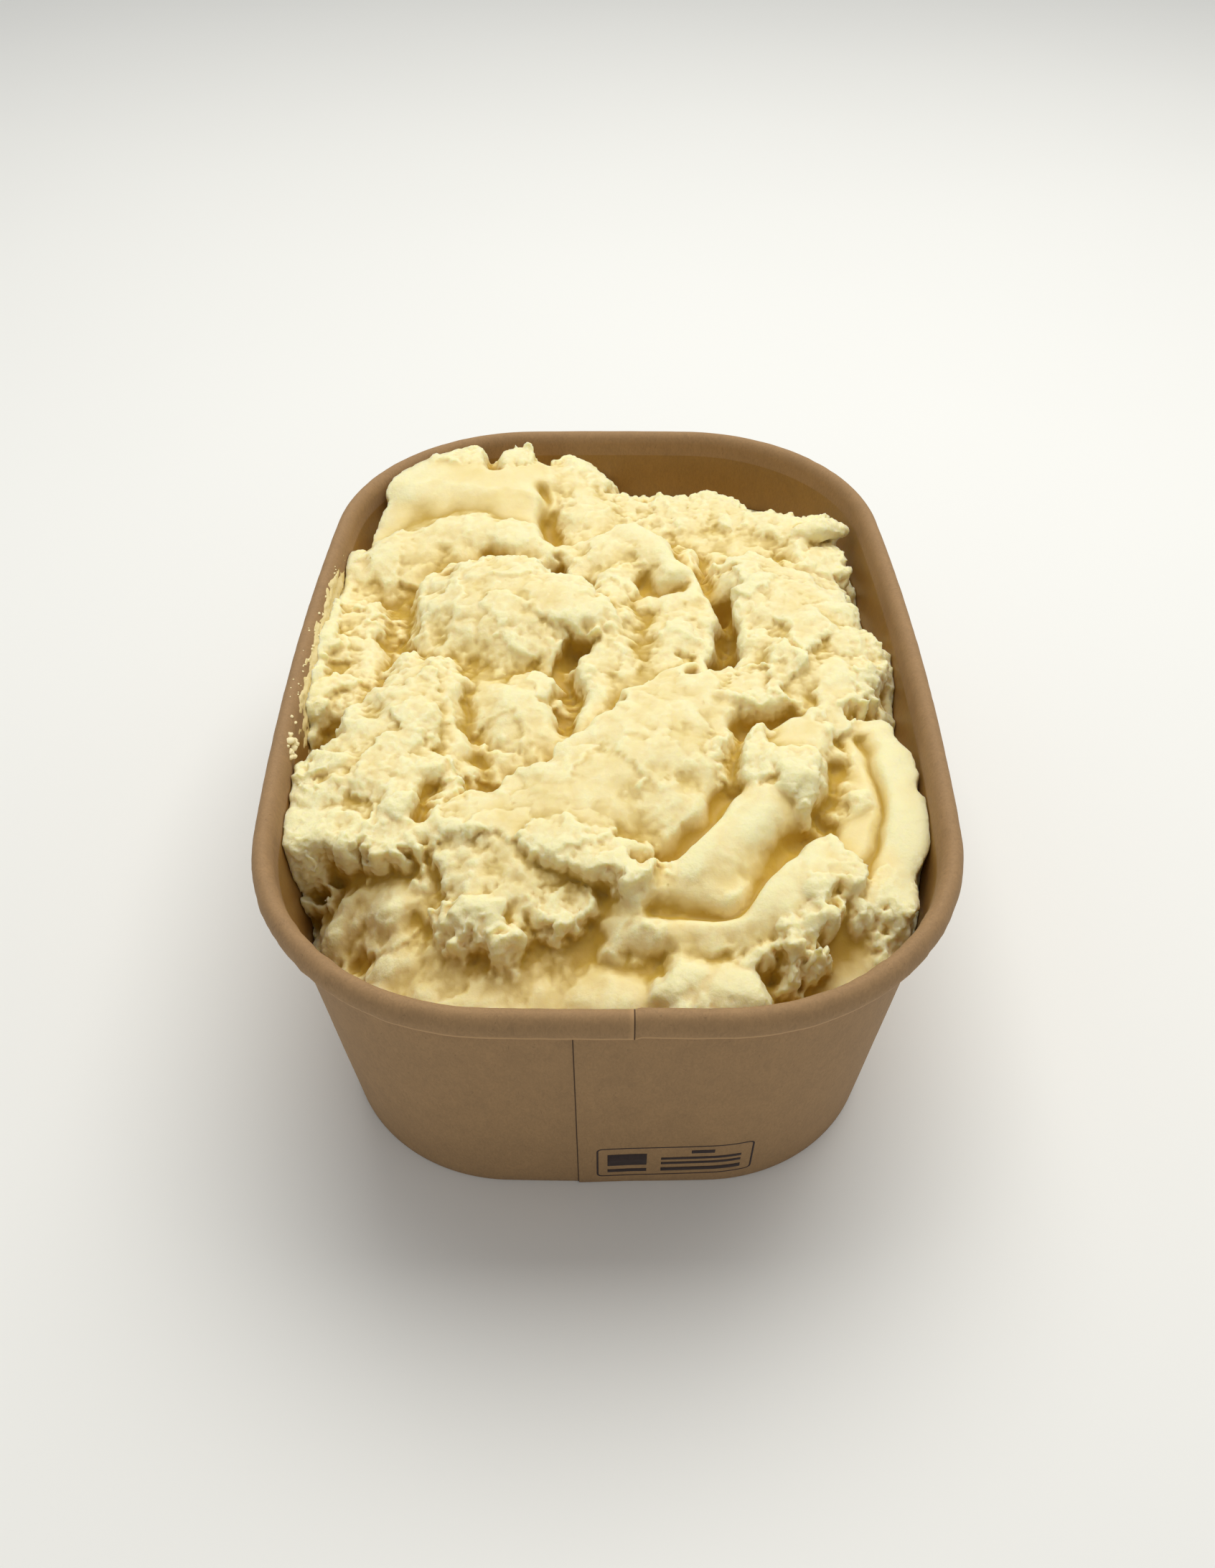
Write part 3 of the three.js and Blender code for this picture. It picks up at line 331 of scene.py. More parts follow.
# Grooves and pits between the lobes: points along the bottom, half width, depth.
GROOVES = {
    "slab_notch": (((-26, 71), (-26.5, 79)), 1.6, 4),
    "slab_crack": (((-13.5, 62), (-12.5, 54), (-12, 45)), 2.2, 3.2),
    "ridge_pit": (((-25.5, 38.5), (-23, 37.5)), 1.6, 3),
    "arch_groove": (((9, 48), (14.5, 40.5), (19.5, 31), (22, 24)), 2.2, 4),
    "curl_crack": (((22, 23), (23.5, 15), (23.5, 8), (21, 2), (17.5, -2)), 1.6, 7),
    "arch_inner": (((7, 29), (11, 26), (15, 25.5)), 2, 3.5),
    "middle_valley": (((-5, 10), (-6.5, 2), (-6.5, -6), (-8, -15)), 1.8, 2.5),
    "dome_left_trough": (((-43, 24), (-43.5, 12), (-42, 1)), 2, 1),
    "left_middle_trough": (((-26, -6), (-25, -15), (-22, -26), (-20, -31)), 1.6, 2),
    "roll_groove": (((5, -50), (12, -45), (18, -38), (21, -31), (23, -24), (26, -16), (34, -13)), 1.6, 4),
    "fold_groove": (((47, -20), (47.5, -30), (46.5, -40), (42.5, -51)), 1.2, 2),
    "long_roll_groove": (((42, -27), (38, -38), (31, -46), (26, -52), (20, -58), (8, -58)), 1.8, 3.5),
    "leaf_groove": (((-31, -32), (-31, -40)), 1.6, 4),
    "left_gap": (((-53, -14), (-54, -24)), 2.5, 4),
}

# Lips that hang over what lies below them: points along the crest, half width, half thickness, bumps.
LIPS = {
    "corner_knob": (((42, 47, 58), (47, 47.5, 59), (50.5, 49, 58)), 2.6, 2.2, 0.6),
    "hooked_curl": (((17.5, 6, 56), (18.5, 0, 55), (21, -1.5, 54.5), (22.5, 1, 54)), 1.6, 2.2, 0.2),
}

# The torn, crumbly faces: size of the tufts and how far they stick out to any side, then size of the
# clumps, the crumbs and the grain on them.
TUFTS = ((4.2, 0.7), (2.0, 0.55), (1.0, 0.5), (0.6, 0.3))
CLUMP_SIZE = 3.2
CRUMB_SIZE = 1.3
GRAIN_SIZE = 0.7
GRAIN_HEIGHT = 0.14

GRID_STEP = 0.4  # points across the top of the heap, before the remesh
WIDE_BLUR, NARROW_BLUR = 11, 6  # in grid steps: what counts as around a place, and its slope
LOWEST_TORN = 20.0  # nothing below this height is roughened
WALL_EASE = 1.5  # the roughening fades out this near to the wall
VOXEL = 0.32
MASH_TRIANGLES = 190000

# The stage. Its sizes are in metres.
FLOOR_HALF = 4.0
LAMP_SIZE = (0.8, 0.6)
LAMP_PLACE = (0.09, 0.28, 0.8)
LAMP_TURN = (math.radians(-19), math.radians(6.5), 0)
SENSOR, LENS = 36, 30.1  # in millimetres, from top to bottom


class BowlSettings(bpy.types.PropertyGroup):
    """Colours and finish of the paper bowl."""

    outside: StringProperty(
        name="Outside", description="Colour of the board outside, as a hex value", default="#A17F56",
    )
    # The coat deepens this colour; its orange is also painted bounce light from the mash.
    inside: StringProperty(
        name="Inside", description="Colour of the coated inner face, as a hex value", default="#966F35",
    )
    # Dark colour given to the step at a lap: painted shade.
    edge: StringProperty(
        name="Lap edge", description="Colour of the shadowed step at a lap, as a hex value",
        default="#4E3923",
    )
    ink: StringProperty(
        name="Ink", description="Colour of the printed frame, as a hex value", default="#2E1F1B",
    )
    wrinkle: FloatProperty(
        name="Wrinkles", description="Depth of the creases in the rolled rim", default=0.22 * MM, min=0,
        unit="LENGTH", subtype="DISTANCE",
    )


class MashSettings(bpy.types.PropertyGroup):
    """Colours and crumbliness of the mash."""

    # Colour of torn crumbly mash, and also of the painted highlight on crests and high places.
    cream: StringProperty(
        name="Cream", description="Colour of the torn, airy crests, as a hex value", default="#FBEEBE",
    )
    butter: StringProperty(
        name="Butter", description="Colour of the swiped faces, as a hex value", default="#EEDA98",
    )
    # Colour mixed in as painted shade in the cracks, hollows and low places.
    hollow_shade_colour: StringProperty(
        name="Golden", description="Colour deep in the cracks, as a hex value", default="#C5A243",
    )
    crumb: FloatProperty(
        name="Crumb height", description="Height of the crumbly lumps where the mash is torn",
        default=0.36 * MM, min=0, unit="LENGTH", subtype="DISTANCE",
    )


class StageSettings(bpy.types.PropertyGroup):
    """Floor, light and camera."""

    floor: StringProperty(
        name="Floor", description="Colour of the floor, as a hex value", default="#F3F3EF",
    )
    lamp_power: FloatProperty(
        name="Lamp power", description="Power of the large soft lamp", default=5.6, min=0, unit="POWER",
    )
    sky: FloatProperty(
        name="Sky", description="Strength of the even light from all sides", default=0.43, min=0,
    )
    camera_place: FloatVectorProperty(
        name="Camera place", description="Where the camera stands", default=(0, -0.19766, 0.21278),
        unit="LENGTH", subtype="TRANSLATION",
    )
    camera_pitch: FloatProperty(
        name="Camera pitch", description="Turn of the camera up from straight down",
        default=math.radians(46.5), unit="ROTATION", subtype="ANGLE",
    )


# ---- The bowl's outline: four corner arcs and four shallow side arcs, all tangent ----


def side_radii():
    """Radii of the long and the short sides, which meet the corners tangentially."""
    rows = [
        [math.cos(LONG_TURN) - 1, -math.sin(SHORT_TURN)],
        [math.sin(LONG_TURN), 1 - math.cos(SHORT_TURN)],
    ]
    right = [
        -WIDTH / 2 + CORNER_RADIUS * (math.cos(LONG_TURN) - math.sin(SHORT_TURN)),
        LENGTH / 2 + CORNER_RADIUS * (math.sin(LONG_TURN) - math.cos(SHORT_TURN)),
    ]
    return np.linalg.solve(rows, right)


LONG_RADIUS, SHORT_RADIUS = side_radii()
CORNER_X = WIDTH / 2 - LONG_RADIUS + (LONG_RADIUS - CORNER_RADIUS) * math.cos(LONG_TURN)
CORNER_Y = (LONG_RADIUS - CORNER_RADIUS) * math.sin(LONG_TURN)


def beside_rim(x, y):
    """Distance outwards from the rim's outer edge, and the outward direction there."""
    ax, ay = np.abs(x), np.abs(y)
    lx = ax - (WIDTH / 2 - LONG_RADIUS)
    sy = ay - (LENGTH / 2 - SHORT_RADIUS)
    on_long = np.arctan2(ay, lx) <= LONG_TURN
    on_short = np.arctan2(ax, sy) <= SHORT_TURN
    dx = np.where(on_long, lx, np.where(on_short, ax, ax - CORNER_X))
    dy = np.where(on_long, ay, np.where(on_short, sy, ay - CORNER_Y))
    radius = np.where(on_long, LONG_RADIUS, np.where(on_short, SHORT_RADIUS, CORNER_RADIUS))
    reach = np.maximum(np.hypot(dx, dy), 1e-9)
    return reach - radius, np.sign(x) * dx / reach, np.sign(y) * dy / reach


def wall_offset(z):
    """Offset of the wall's outer face from the rim's outer edge, at a height."""
    lean = WALL_TAPER * (1 - np.asarray(z) / (HEIGHT - ROLL_HEIGHT / 2))
    return BOARD - ROLL_WIDTH - np.maximum(lean, 0)


def mash_limit(y, z):
    """Offset that the mash keeps within, clear of the wall and of the lap on its inner face."""
    return wall_offset(z) - BOARD - MASH_GAP - np.where(np.asarray(y) < LAP_ZONE, SEAM_STEP, 0)


# ---- Noise, the same as in the solid model ----


def cell_hash(ix, iy, iz):
    """A scrambled 32-bit number for each cell of the grid."""
    with np.errstate(over="ignore"):
        h = ix.astype(np.uint32) * np.uint32(374761393) ^ iy.astype(np.uint32) * np.uint32(668265263)
        h = h ^ iz.astype(np.uint32) * np.uint32(1440662683)
        h = (h ^ (h >> np.uint32(15))) * np.uint32(2246822519)
        h = (h ^ (h >> np.uint32(13))) * np.uint32(3266489917)
    return h ^ (h >> np.uint32(16))


def hash_parts(h):
    """Three numbers from -1 to 1 out of one scrambled number."""
    return [((h >> np.uint32(shift)) & np.uint32(1023)) / 511.5 - 1 for shift in (0, 10, 20)]


def noise(x, y, z):
    """Smooth gradient noise of unit grain, from about -1 to 1."""
    x, y, z = np.broadcast_arrays(x, y, z)
    cell = [np.floor(v).astype(np.int64) for v in (x, y, z)]
    fx, fy, fz = (v - c for v, c in zip((x, y, z), cell))
    ux, uy, uz = (f * f * f * (f * (6 * f - 15) + 10) for f in (fx, fy, fz))
    total = 0
    for i in (0, 1):
        for j in (0, 1):
            for k in (0, 1):
                gx, gy, gz = hash_parts(cell_hash(cell[0] + i, cell[1] + j, cell[2] + k))
                weight = (ux if i else 1 - ux) * (uy if j else 1 - uy) * (uz if k else 1 - uz)
                total = total + weight * (gx * (fx - i) + gy * (fy - j) + gz * (fz - k))
    return total


def noise_vector(points):
    """Three noises that don't follow one another, as a vector for each point."""
    x, y, z = points.T
    return np.stack([noise(x, y, z + seed) for seed in (0.5, 9.5, 19.5)], 1)


def lumps(points, size):
    """Lumps with creases between them: 0 in a crease to 1 on top, and a level from -1 to 1 for each."""
    at = points / size
    cell = np.floor(at).astype(np.int64)
    nearest = np.full(len(at), 9.0)
    number = np.zeros(len(at))
    for i in (-1, 0, 1):
        for j in (-1, 0, 1):
            for k in (-1, 0, 1):
                c = cell + (i, j, k)
                parts = hash_parts(cell_hash(c[:, 0], c[:, 1], c[:, 2]))
                gap = sum((c[:, a] + 0.5 + 0.45 * parts[a] - at[:, a]) ** 2 for a in range(3))
                number = np.where(gap < nearest, parts[0] * parts[1] * 2, number)
                np.minimum(nearest, gap, out=nearest)
    return np.clip(1 - nearest, 0, 1), np.clip(number, -1, 1)


# ---- The heap's height ----


def trace_line(points, steps=6):
    """A smooth line through the points, as short straight pieces."""
    p = np.array([tuple(q) + (0,) * (3 - len(q)) for q in points], float)
    p = np.vstack([2 * p[0] - p[1], p, 2 * p[-1] - p[-2]])
    made = []
    for i in range(1, len(p) - 2):
        for t in np.arange(steps) / steps:
            a, b, c, d = p[i - 1 : i + 3]
            made.append(b + 0.5 * t * (c - a + t * (2 * a - 5 * b + 4 * c - d + t * (3 * (b - c) + d - a))))
    return np.array(made + [p[-2]])


def beside_line(line, x, y):
    """Distance to the line, distance to its left, distance past its ends, and height on it."""
    gap = np.full(x.shape, np.inf)
    left, past, z = (np.zeros(x.shape) for _ in range(3))
    for i, (a, b) in enumerate(zip(line, line[1:])):
        dx, dy = b[0] - a[0], b[1] - a[1]
        length = math.hypot(dx, dy)
        raw = ((x - a[0]) * dx + (y - a[1]) * dy) / length**2
        t = np.clip(raw, 0, 1)
        here = np.hypot(x - a[0] - dx * t, y - a[1] - dy * t)
        near = here < gap
        gap[near] = here[near]
        left[near] = (((y - a[1]) * dx - (x - a[0]) * dy) / length)[near]
        outside = ((raw < 0) & (i == 0)) | ((raw > 1) & (i == len(line) - 2))
        past[near] = np.where(outside, np.abs(raw - t) * length, 0)[near]
        z[near] = (a[2] + (b[2] - a[2]) * t)[near]
    return gap, left, past, z


def fill_level(x, y):
    """Fill level against the wall in the direction of a point seen from the middle."""
    bearings, levels = np.array(FILL_LEVEL, float).T
    bearing = np.degrees(np.arctan2(y, x))
    after = np.clip(np.searchsorted(bearings, bearing), 1, len(bearings) - 1)
    t = np.clip((bearing - bearings[after - 1]) / (bearings[after] - bearings[after - 1]), 0, 1)
    return levels[after - 1] + (levels[after] - levels[after - 1]) * t * t * (3 - 2 * t)


def heap_height(x, y):
    """Height of the heap's top, and how crumbly it is there."""
    level = LEVEL_SHARE * lobe_height(x, y, 0, 0)[0]
    wide = [noise(x / TEAR_SIZE, y / TEAR_SIZE, level / TEAR_SIZE + seed) for seed in (11.3, 47.7)]
    ragged = [
        sum(reach * noise(x / size, y / size, level / size + seed) for size, reach in RAGS)
        for seed in (3.1, 23.9)
    ]
    moved_x = x + TEAR_REACH * wide[0]
    moved_y = y + TEAR_REACH * wide[1]
    height, bump, crumbly = lobe_height(moved_x, moved_y, *ragged)
    for path, width, depth in GROOVES.values():
        gap, _, _, _ = beside_line(trace_line(path), moved_x, moved_y)
        height -= depth * np.exp(-((gap / width) ** 2))
    bx, by, bz = x / BUMP_SIZE, y / BUMP_SIZE, height / BUMP_SIZE
    coarse = COARSE_BUMP * noise(bx, by, bz)
    fine = FINE_BUMP * noise(2.1 * bx, 2.1 * by, 2.1 * bz)
    chunk_x = moved_x + CHUNK_RAG * ragged[0]
    chunk_y = moved_y + CHUNK_RAG * ragged[1]
    torn = np.zeros(x.shape)
    for size, step in CHUNKS:
        place = np.stack([chunk_x, chunk_y, np.full(x.shape, size)], 1)
        top, number = lumps(place, size)
        torn += step * (number + 1.2 * (top - 0.8))
    return height + (0.3 + 0.7 * crumbly) * bump * (coarse + fine) + crumbly * torn, crumbly


def lobe_height(x, y, rag_x, rag_y):
    """Height of the lobes over the fill, their bumps and crumbliness, with their edges torn by so much."""
    across = np.abs(x) / (WIDTH / 2 - ROLL_WIDTH)
    along = np.abs(y) / (LENGTH / 2 - ROLL_WIDTH)
    out = np.minimum((across**3 + along**3) ** (1 / 3), 1)
    height = MIDDLE_LEVEL + (fill_level(x, y) - MIDDLE_LEVEL) * out**2
    bump = np.ones(x.shape)
    crumbly = np.full(x.shape, 0.6)
    rag_x, rag_y = np.broadcast_to(rag_x, x.shape), np.broadcast_to(rag_y, x.shape)
    for crest, sides, drops, flanks, coarse, rough in LOBES.values():
        line = trace_line(crest)
        margin = max(sides) + 8
        low, high = line.min(0) - margin, line.max(0) + margin
        near = (x > low[0]) & (x < high[0]) & (y > low[1]) & (y < high[1])
        share = 0.15 + 0.85 * rough
        _, left, past, z = beside_line(line, x[near] + share * rag_x[near], y[near] + share * rag_y[near])
        half = np.where(left > 0, sides[0], sides[1])
        reach = (np.abs(left / half) ** 2.5 + (past / min(sides)) ** 2.5) ** 0.4
        drop = np.where(left > 0, drops[0], drops[1])
        flank = np.where(left > 0, flanks[0], flanks[1])
        top = z - drop * np.minimum(reach, 1) ** 2 - flank * np.maximum(reach - 1, 0) * half
        blend = BLEND * (1 + 2.5 * (1 - rough))
        old = height[near]
        overlap = np.maximum(blend - np.abs(top - old), 0) / blend
        higher = top > old
        bump[near] = np.where(higher, coarse, bump[near])
        crumbly[near] = np.where(higher, rough, crumbly[near])
        height[near] = np.maximum(top, old) + overlap**2 * blend / 4
    return height, bump, crumbly


def blurred(values, steps):
    """A grid of values softened over that many points each way."""
    reach = np.arange(-3 * steps, 3 * steps + 1)
    weights = np.exp(-0.5 * (reach / steps) ** 2)
    weights /= weights.sum()
    for axis in (0, 1):
        pad = [(0, 0), (0, 0)]
        pad[axis] = (3 * steps, 3 * steps)
        padded = np.pad(values, pad, mode="edge")
        size = values.shape[axis]
        values = sum(w * padded.take(range(i, i + size), axis=axis) for i, w in enumerate(weights))
    return values


# ---- Meshes ----


def points_of(mesh):
    """The mesh's vertices as an array."""
    flat = np.empty(3 * len(mesh.vertices), np.float32)
    mesh.vertices.foreach_get("co", flat)
    return flat.reshape(-1, 3).astype(float)


def set_points(mesh, points):
    """Moves the mesh's vertices to the rows of an array."""
    mesh.vertices.foreach_set("co", np.asarray(points, np.float32).ravel())
    mesh.update()


def normals_of(mesh):
    """The mesh's vertex normals as an array."""
    flat = np.empty(3 * len(mesh.vertices), np.float32)
    mesh.vertices.foreach_get("normal", flat)
    return flat.reshape(-1, 3).astype(float)


def places(verts):
    """The places of a bmesh's vertices as an array."""
    return np.array([v.co[:] for v in verts])


def move_to(verts, points):
    """Moves a bmesh's vertices to the rows of an array."""
    for vert, place in zip(verts, points):
        vert.co = place


def give(mesh, name, values):
    """Stores a value from 0 to 1 for each of the mesh's vertices."""
    stored = mesh.attributes.new(name, "FLOAT", "POINT")
    stored.data.foreach_set("value", np.broadcast_to(values, len(mesh.vertices)).astype(np.float32))


def new_piece(name, bm, materials, replaced=()):
    """A finished piece from a bmesh in millimetres."""
    bmesh.ops.scale(bm, vec=(MM, MM, MM), verts=bm.verts)
    mesh = bpy.data.meshes.new(name)
    bm.to_mesh(mesh)
    bm.free()
    return dressed(mesh, name, materials, replaced)


def dressed(mesh, name, materials, replaced=()):
    """A mesh in metres, linked, shaded smooth, given its materials and tied to the frame."""
    piece = bpy.data.objects.new(name, mesh)
    bpy.context.scene.collection.objects.link(piece)
    mesh.shade_smooth()
    for material in materials:
        mesh.materials.append(material)
    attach(piece, BODY)
    if replaced:
        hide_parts(*replaced)
    return piece


def modified(mesh, kind, **settings):
    """The mesh with one modifier applied."""
    carrier = bpy.data.objects.new("carrier", mesh)
    bpy.context.scene.collection.objects.link(carrier)
    modifier = carrier.modifiers.new(kind.lower(), kind)
    for key, value in settings.items():
        setattr(modifier, key, value)
    ready = carrier.evaluated_get(bpy.context.evaluated_depsgraph_get())
    made = bpy.data.meshes.new_from_object(ready)
    bpy.data.objects.remove(carrier)
    bpy.data.meshes.remove(mesh)
    return made


def outline_arcs(detail):
    """The rim's arcs from the middle of the +X side all the way round: centre, start, sweep and steps."""
    lap_edges = (OUTER_LAP_X - LAP_EDGE, OUTER_LAP_X, INNER_LAP_X, INNER_LAP_X + LAP_EDGE)
    lap = [math.asin(x / SHORT_RADIUS) for x in lap_edges]
    corner = math.pi / 2 - LONG_TURN - SHORT_TURN
    spans = {
        2: (SHORT_TURN + lap[0], lap[1] - lap[0], -lap[1]),
        3: (lap[2], lap[3] - lap[2], SHORT_TURN - lap[3]),
    }
    arcs = []
    for quarter in range(4):
        sx = (1, -1, -1, 1)[quarter]
        sy = (1, 1, -1, -1)[quarter]
        long_arc = ((sx * (WIDTH / 2 - LONG_RADIUS), 0), LONG_TURN, [1.0])
        short_cuts = [span / SHORT_TURN for span in spans.get(quarter, (SHORT_TURN,))]
        short_arc = ((0, sy * (LENGTH / 2 - SHORT_RADIUS)), SHORT_TURN, short_cuts)
        corner_arc = ((sx * CORNER_X, sy * CORNER_Y), corner, [1.0])
        arcs += [long_arc, corner_arc, short_arc] if quarter % 2 == 0 else [short_arc, corner_arc, long_arc]
    made = []
    for centre, sweep, cuts in arcs:
        radius = {LONG_TURN: LONG_RADIUS, SHORT_TURN: SHORT_RADIUS}.get(sweep, CORNER_RADIUS)
        for cut in cuts:
            steps = max(1, round(cut * sweep * radius / detail))
            made.append((centre, cut * sweep, steps))
    return made


def swept(profile, closed, detail):
    """A profile of offset, height and part number, carried all round the outline with spins."""
    bm = bmesh.new()
    part = bm.verts.layers.int.new("part")
    ring = []
    for offset, z, number in profile:
        vert = bm.verts.new((WIDTH / 2 + offset, 0, z))
        vert[part] = number
        ring.append(vert)
    pairs = list(zip(ring, ring[1:])) + ([(ring[-1], ring[0])] if closed else [])
    last = ring + [bm.edges.new(pair) for pair in pairs]
    for centre, sweep, steps in outline_arcs(detail):
        last = bmesh.ops.spin(
            bm, geom=last, cent=(centre[0], centre[1], 0), axis=(0, 0, 1), dvec=(0, 0, 0), angle=sweep,
            steps=steps, use_merge=False, use_normal_flip=False, use_duplicate=False,
        )["geom_last"]
    bmesh.ops.remove_doubles(bm, verts=bm.verts, dist=2e-3)
    bmesh.ops.recalc_face_normals(bm, faces=bm.faces)
    return bm


def arc_points(centre, radii, start, end, count, number):
    """Points along an oval arc, both ends included, from one angle in degrees to another."""
    angles = np.radians(np.linspace(start, end, count))
    return [(centre[0] + radii[0] * math.cos(a), centre[1] + radii[1] * math.sin(a), number) for a in angles]


OUTSIDE, ROLL, TUCK, INSIDE, HEM = range(5)  # the parts of the side wall's section


def sidewall_profile():
    """The board's section: outside up to the roll, round the roll, down the inside, and the foot's hem."""
    under = HEIGHT - ROLL_HEIGHT
    middle = (-ROLL_WIDTH / 2, HEIGHT - ROLL_HEIGHT / 2)
    radii = (ROLL_WIDTH / 2, ROLL_HEIGHT / 2)
    slot = BOARD + 2 * FIT_GAP
    hem_top = float(wall_offset(HEM_HEIGHT)) - BOARD - slot
    hem_foot = float(wall_offset(0)) - BOARD - slot
    bend = 0.25
    profile = [(float(wall_offset(bend)), bend, OUTSIDE)]
    for z in np.linspace(2, under - 0.2, 24):
        profile.append((float(wall_offset(z)), float(z), OUTSIDE))
    tuck = float(wall_offset(under + 0.6))
    profile += [(tuck + 0.02, under + 1.1, OUTSIDE), (tuck + 0.3, under + 0.9, TUCK)]
    for out, rise in ((0.42, 0.1), (0.62, -0.2), (0.95, -0.28), (1.2, -0.1)):
        profile.append((tuck + out, under + rise, TUCK))
    profile += arc_points(middle, radii, -70, 180, 26, ROLL)
    for z in np.linspace(under + 0.6, BOARD + 1.4, 24):
        profile.append((float(wall_offset(z)) - BOARD, float(z), INSIDE))
    profile += [(float(wall_offset(BOARD)) - BOARD, BOARD, INSIDE)]
    profile += [(hem_foot, BOARD, HEM), (hem_top, HEM_HEIGHT, HEM), (hem_top - BOARD, HEM_HEIGHT, HEM)]
    profile += [(hem_foot - BOARD, bend, HEM), (hem_foot - BOARD + bend, 0, HEM)]
    profile += [(float(wall_offset(0)) - bend, 0, HEM)]
    return profile


def fading_step(past):
    """A step that is full just past a cut edge and levels out further on."""
    return np.where(past < -1e-3, 0, SEAM_STEP * np.clip(1 - past / LAP_FADE, 0, 1))


def wall_wave(x, y, z):
    """How far the board waves out at a place. The foot is held flat."""
    return WALL_WAVE * noise(x / WAVE_SIZE, y / WAVE_SIZE, z / WAVE_SIZE) * np.clip(z / 8, 0, 1)


def lap_and_crease(points, parts, wrinkle):
    """The wall's points with the lapped sheets' steps and the creases of the rolled rim."""
    x, y, z = points.T
    _, nx, ny = beside_rim(x, y)
    front = ny < -0.9
    move = np.zeros(len(points))
    move += np.where(front & (parts == OUTSIDE), fading_step(x - OUTER_LAP_X), 0)
    move -= np.where(front & (parts == INSIDE), fading_step(INNER_LAP_X - x), 0)
    rim = (parts == ROLL) | (parts == TUCK)
    move -= np.where(front & rim, fading_step(x - INNER_LAP_X - LAP_EDGE), 0)
    turn = np.abs(np.abs(np.arctan2(ny, nx)) - math.pi / 2)
    corner = np.exp(-(((turn - 0.75) / 0.5) ** 2)) * np.where(y < 0, 1.0, 0.5)
    crease = noise(x / 3.1, y / 3.1, z / 9) + 0.6 * noise(x / 1.3, y / 1.3, z / 5)
    move += np.where(rim, wrinkle * (0.25 + corner) * crease * np.clip((z - HEIGHT + 7) / 3, 0, 1), 0)
    move += wall_wave(x, y, z) * np.clip((HEIGHT - 2 - z) / 6, 0, 1)
    return points + np.stack([nx * move, ny * move, np.zeros(len(points))], 1)


# ---- Materials ----

MIX_LOW, MIX_HIGH, MIXED = 6, 7, 2  # a Mix node's two colour inputs and its colour output


def linear(code):
    """An sRGB hex value as linear RGBA."""
    parts = [int(code[i : i + 2], 16) / 255 for i in (1, 3, 5)]
    return tuple(c / 12.92 if c <= 0.04045 else ((c + 0.055) / 1.055) ** 2.4 for c in parts) + (1.0,)


def shade(code, factor):
    """A hex value's linear colour made lighter or darker."""
    return tuple(min(c * factor, 1.0) for c in linear(code)[:3]) + (1.0,)


def node(tree, kind, inputs=(), **settings):
    """Adds a node with its settings, input values and links."""
    made = tree.nodes.new(kind)
    for key, value in settings.items():
        setattr(made, key, value)
    for key, value in dict(inputs).items():
        if isinstance(value, bpy.types.NodeSocket):
            tree.links.new(value, made.inputs[key])
        else:
            made.inputs[key].default_value = value
    return made


def new_material(name):
    """An empty material, its tree and its object coordinates in metres."""
    material = bpy.data.materials.new(name)
    material.use_nodes = True
    tree = material.node_tree
    tree.nodes.clear()
    return material, tree, node(tree, "ShaderNodeTexCoord").outputs["Object"]


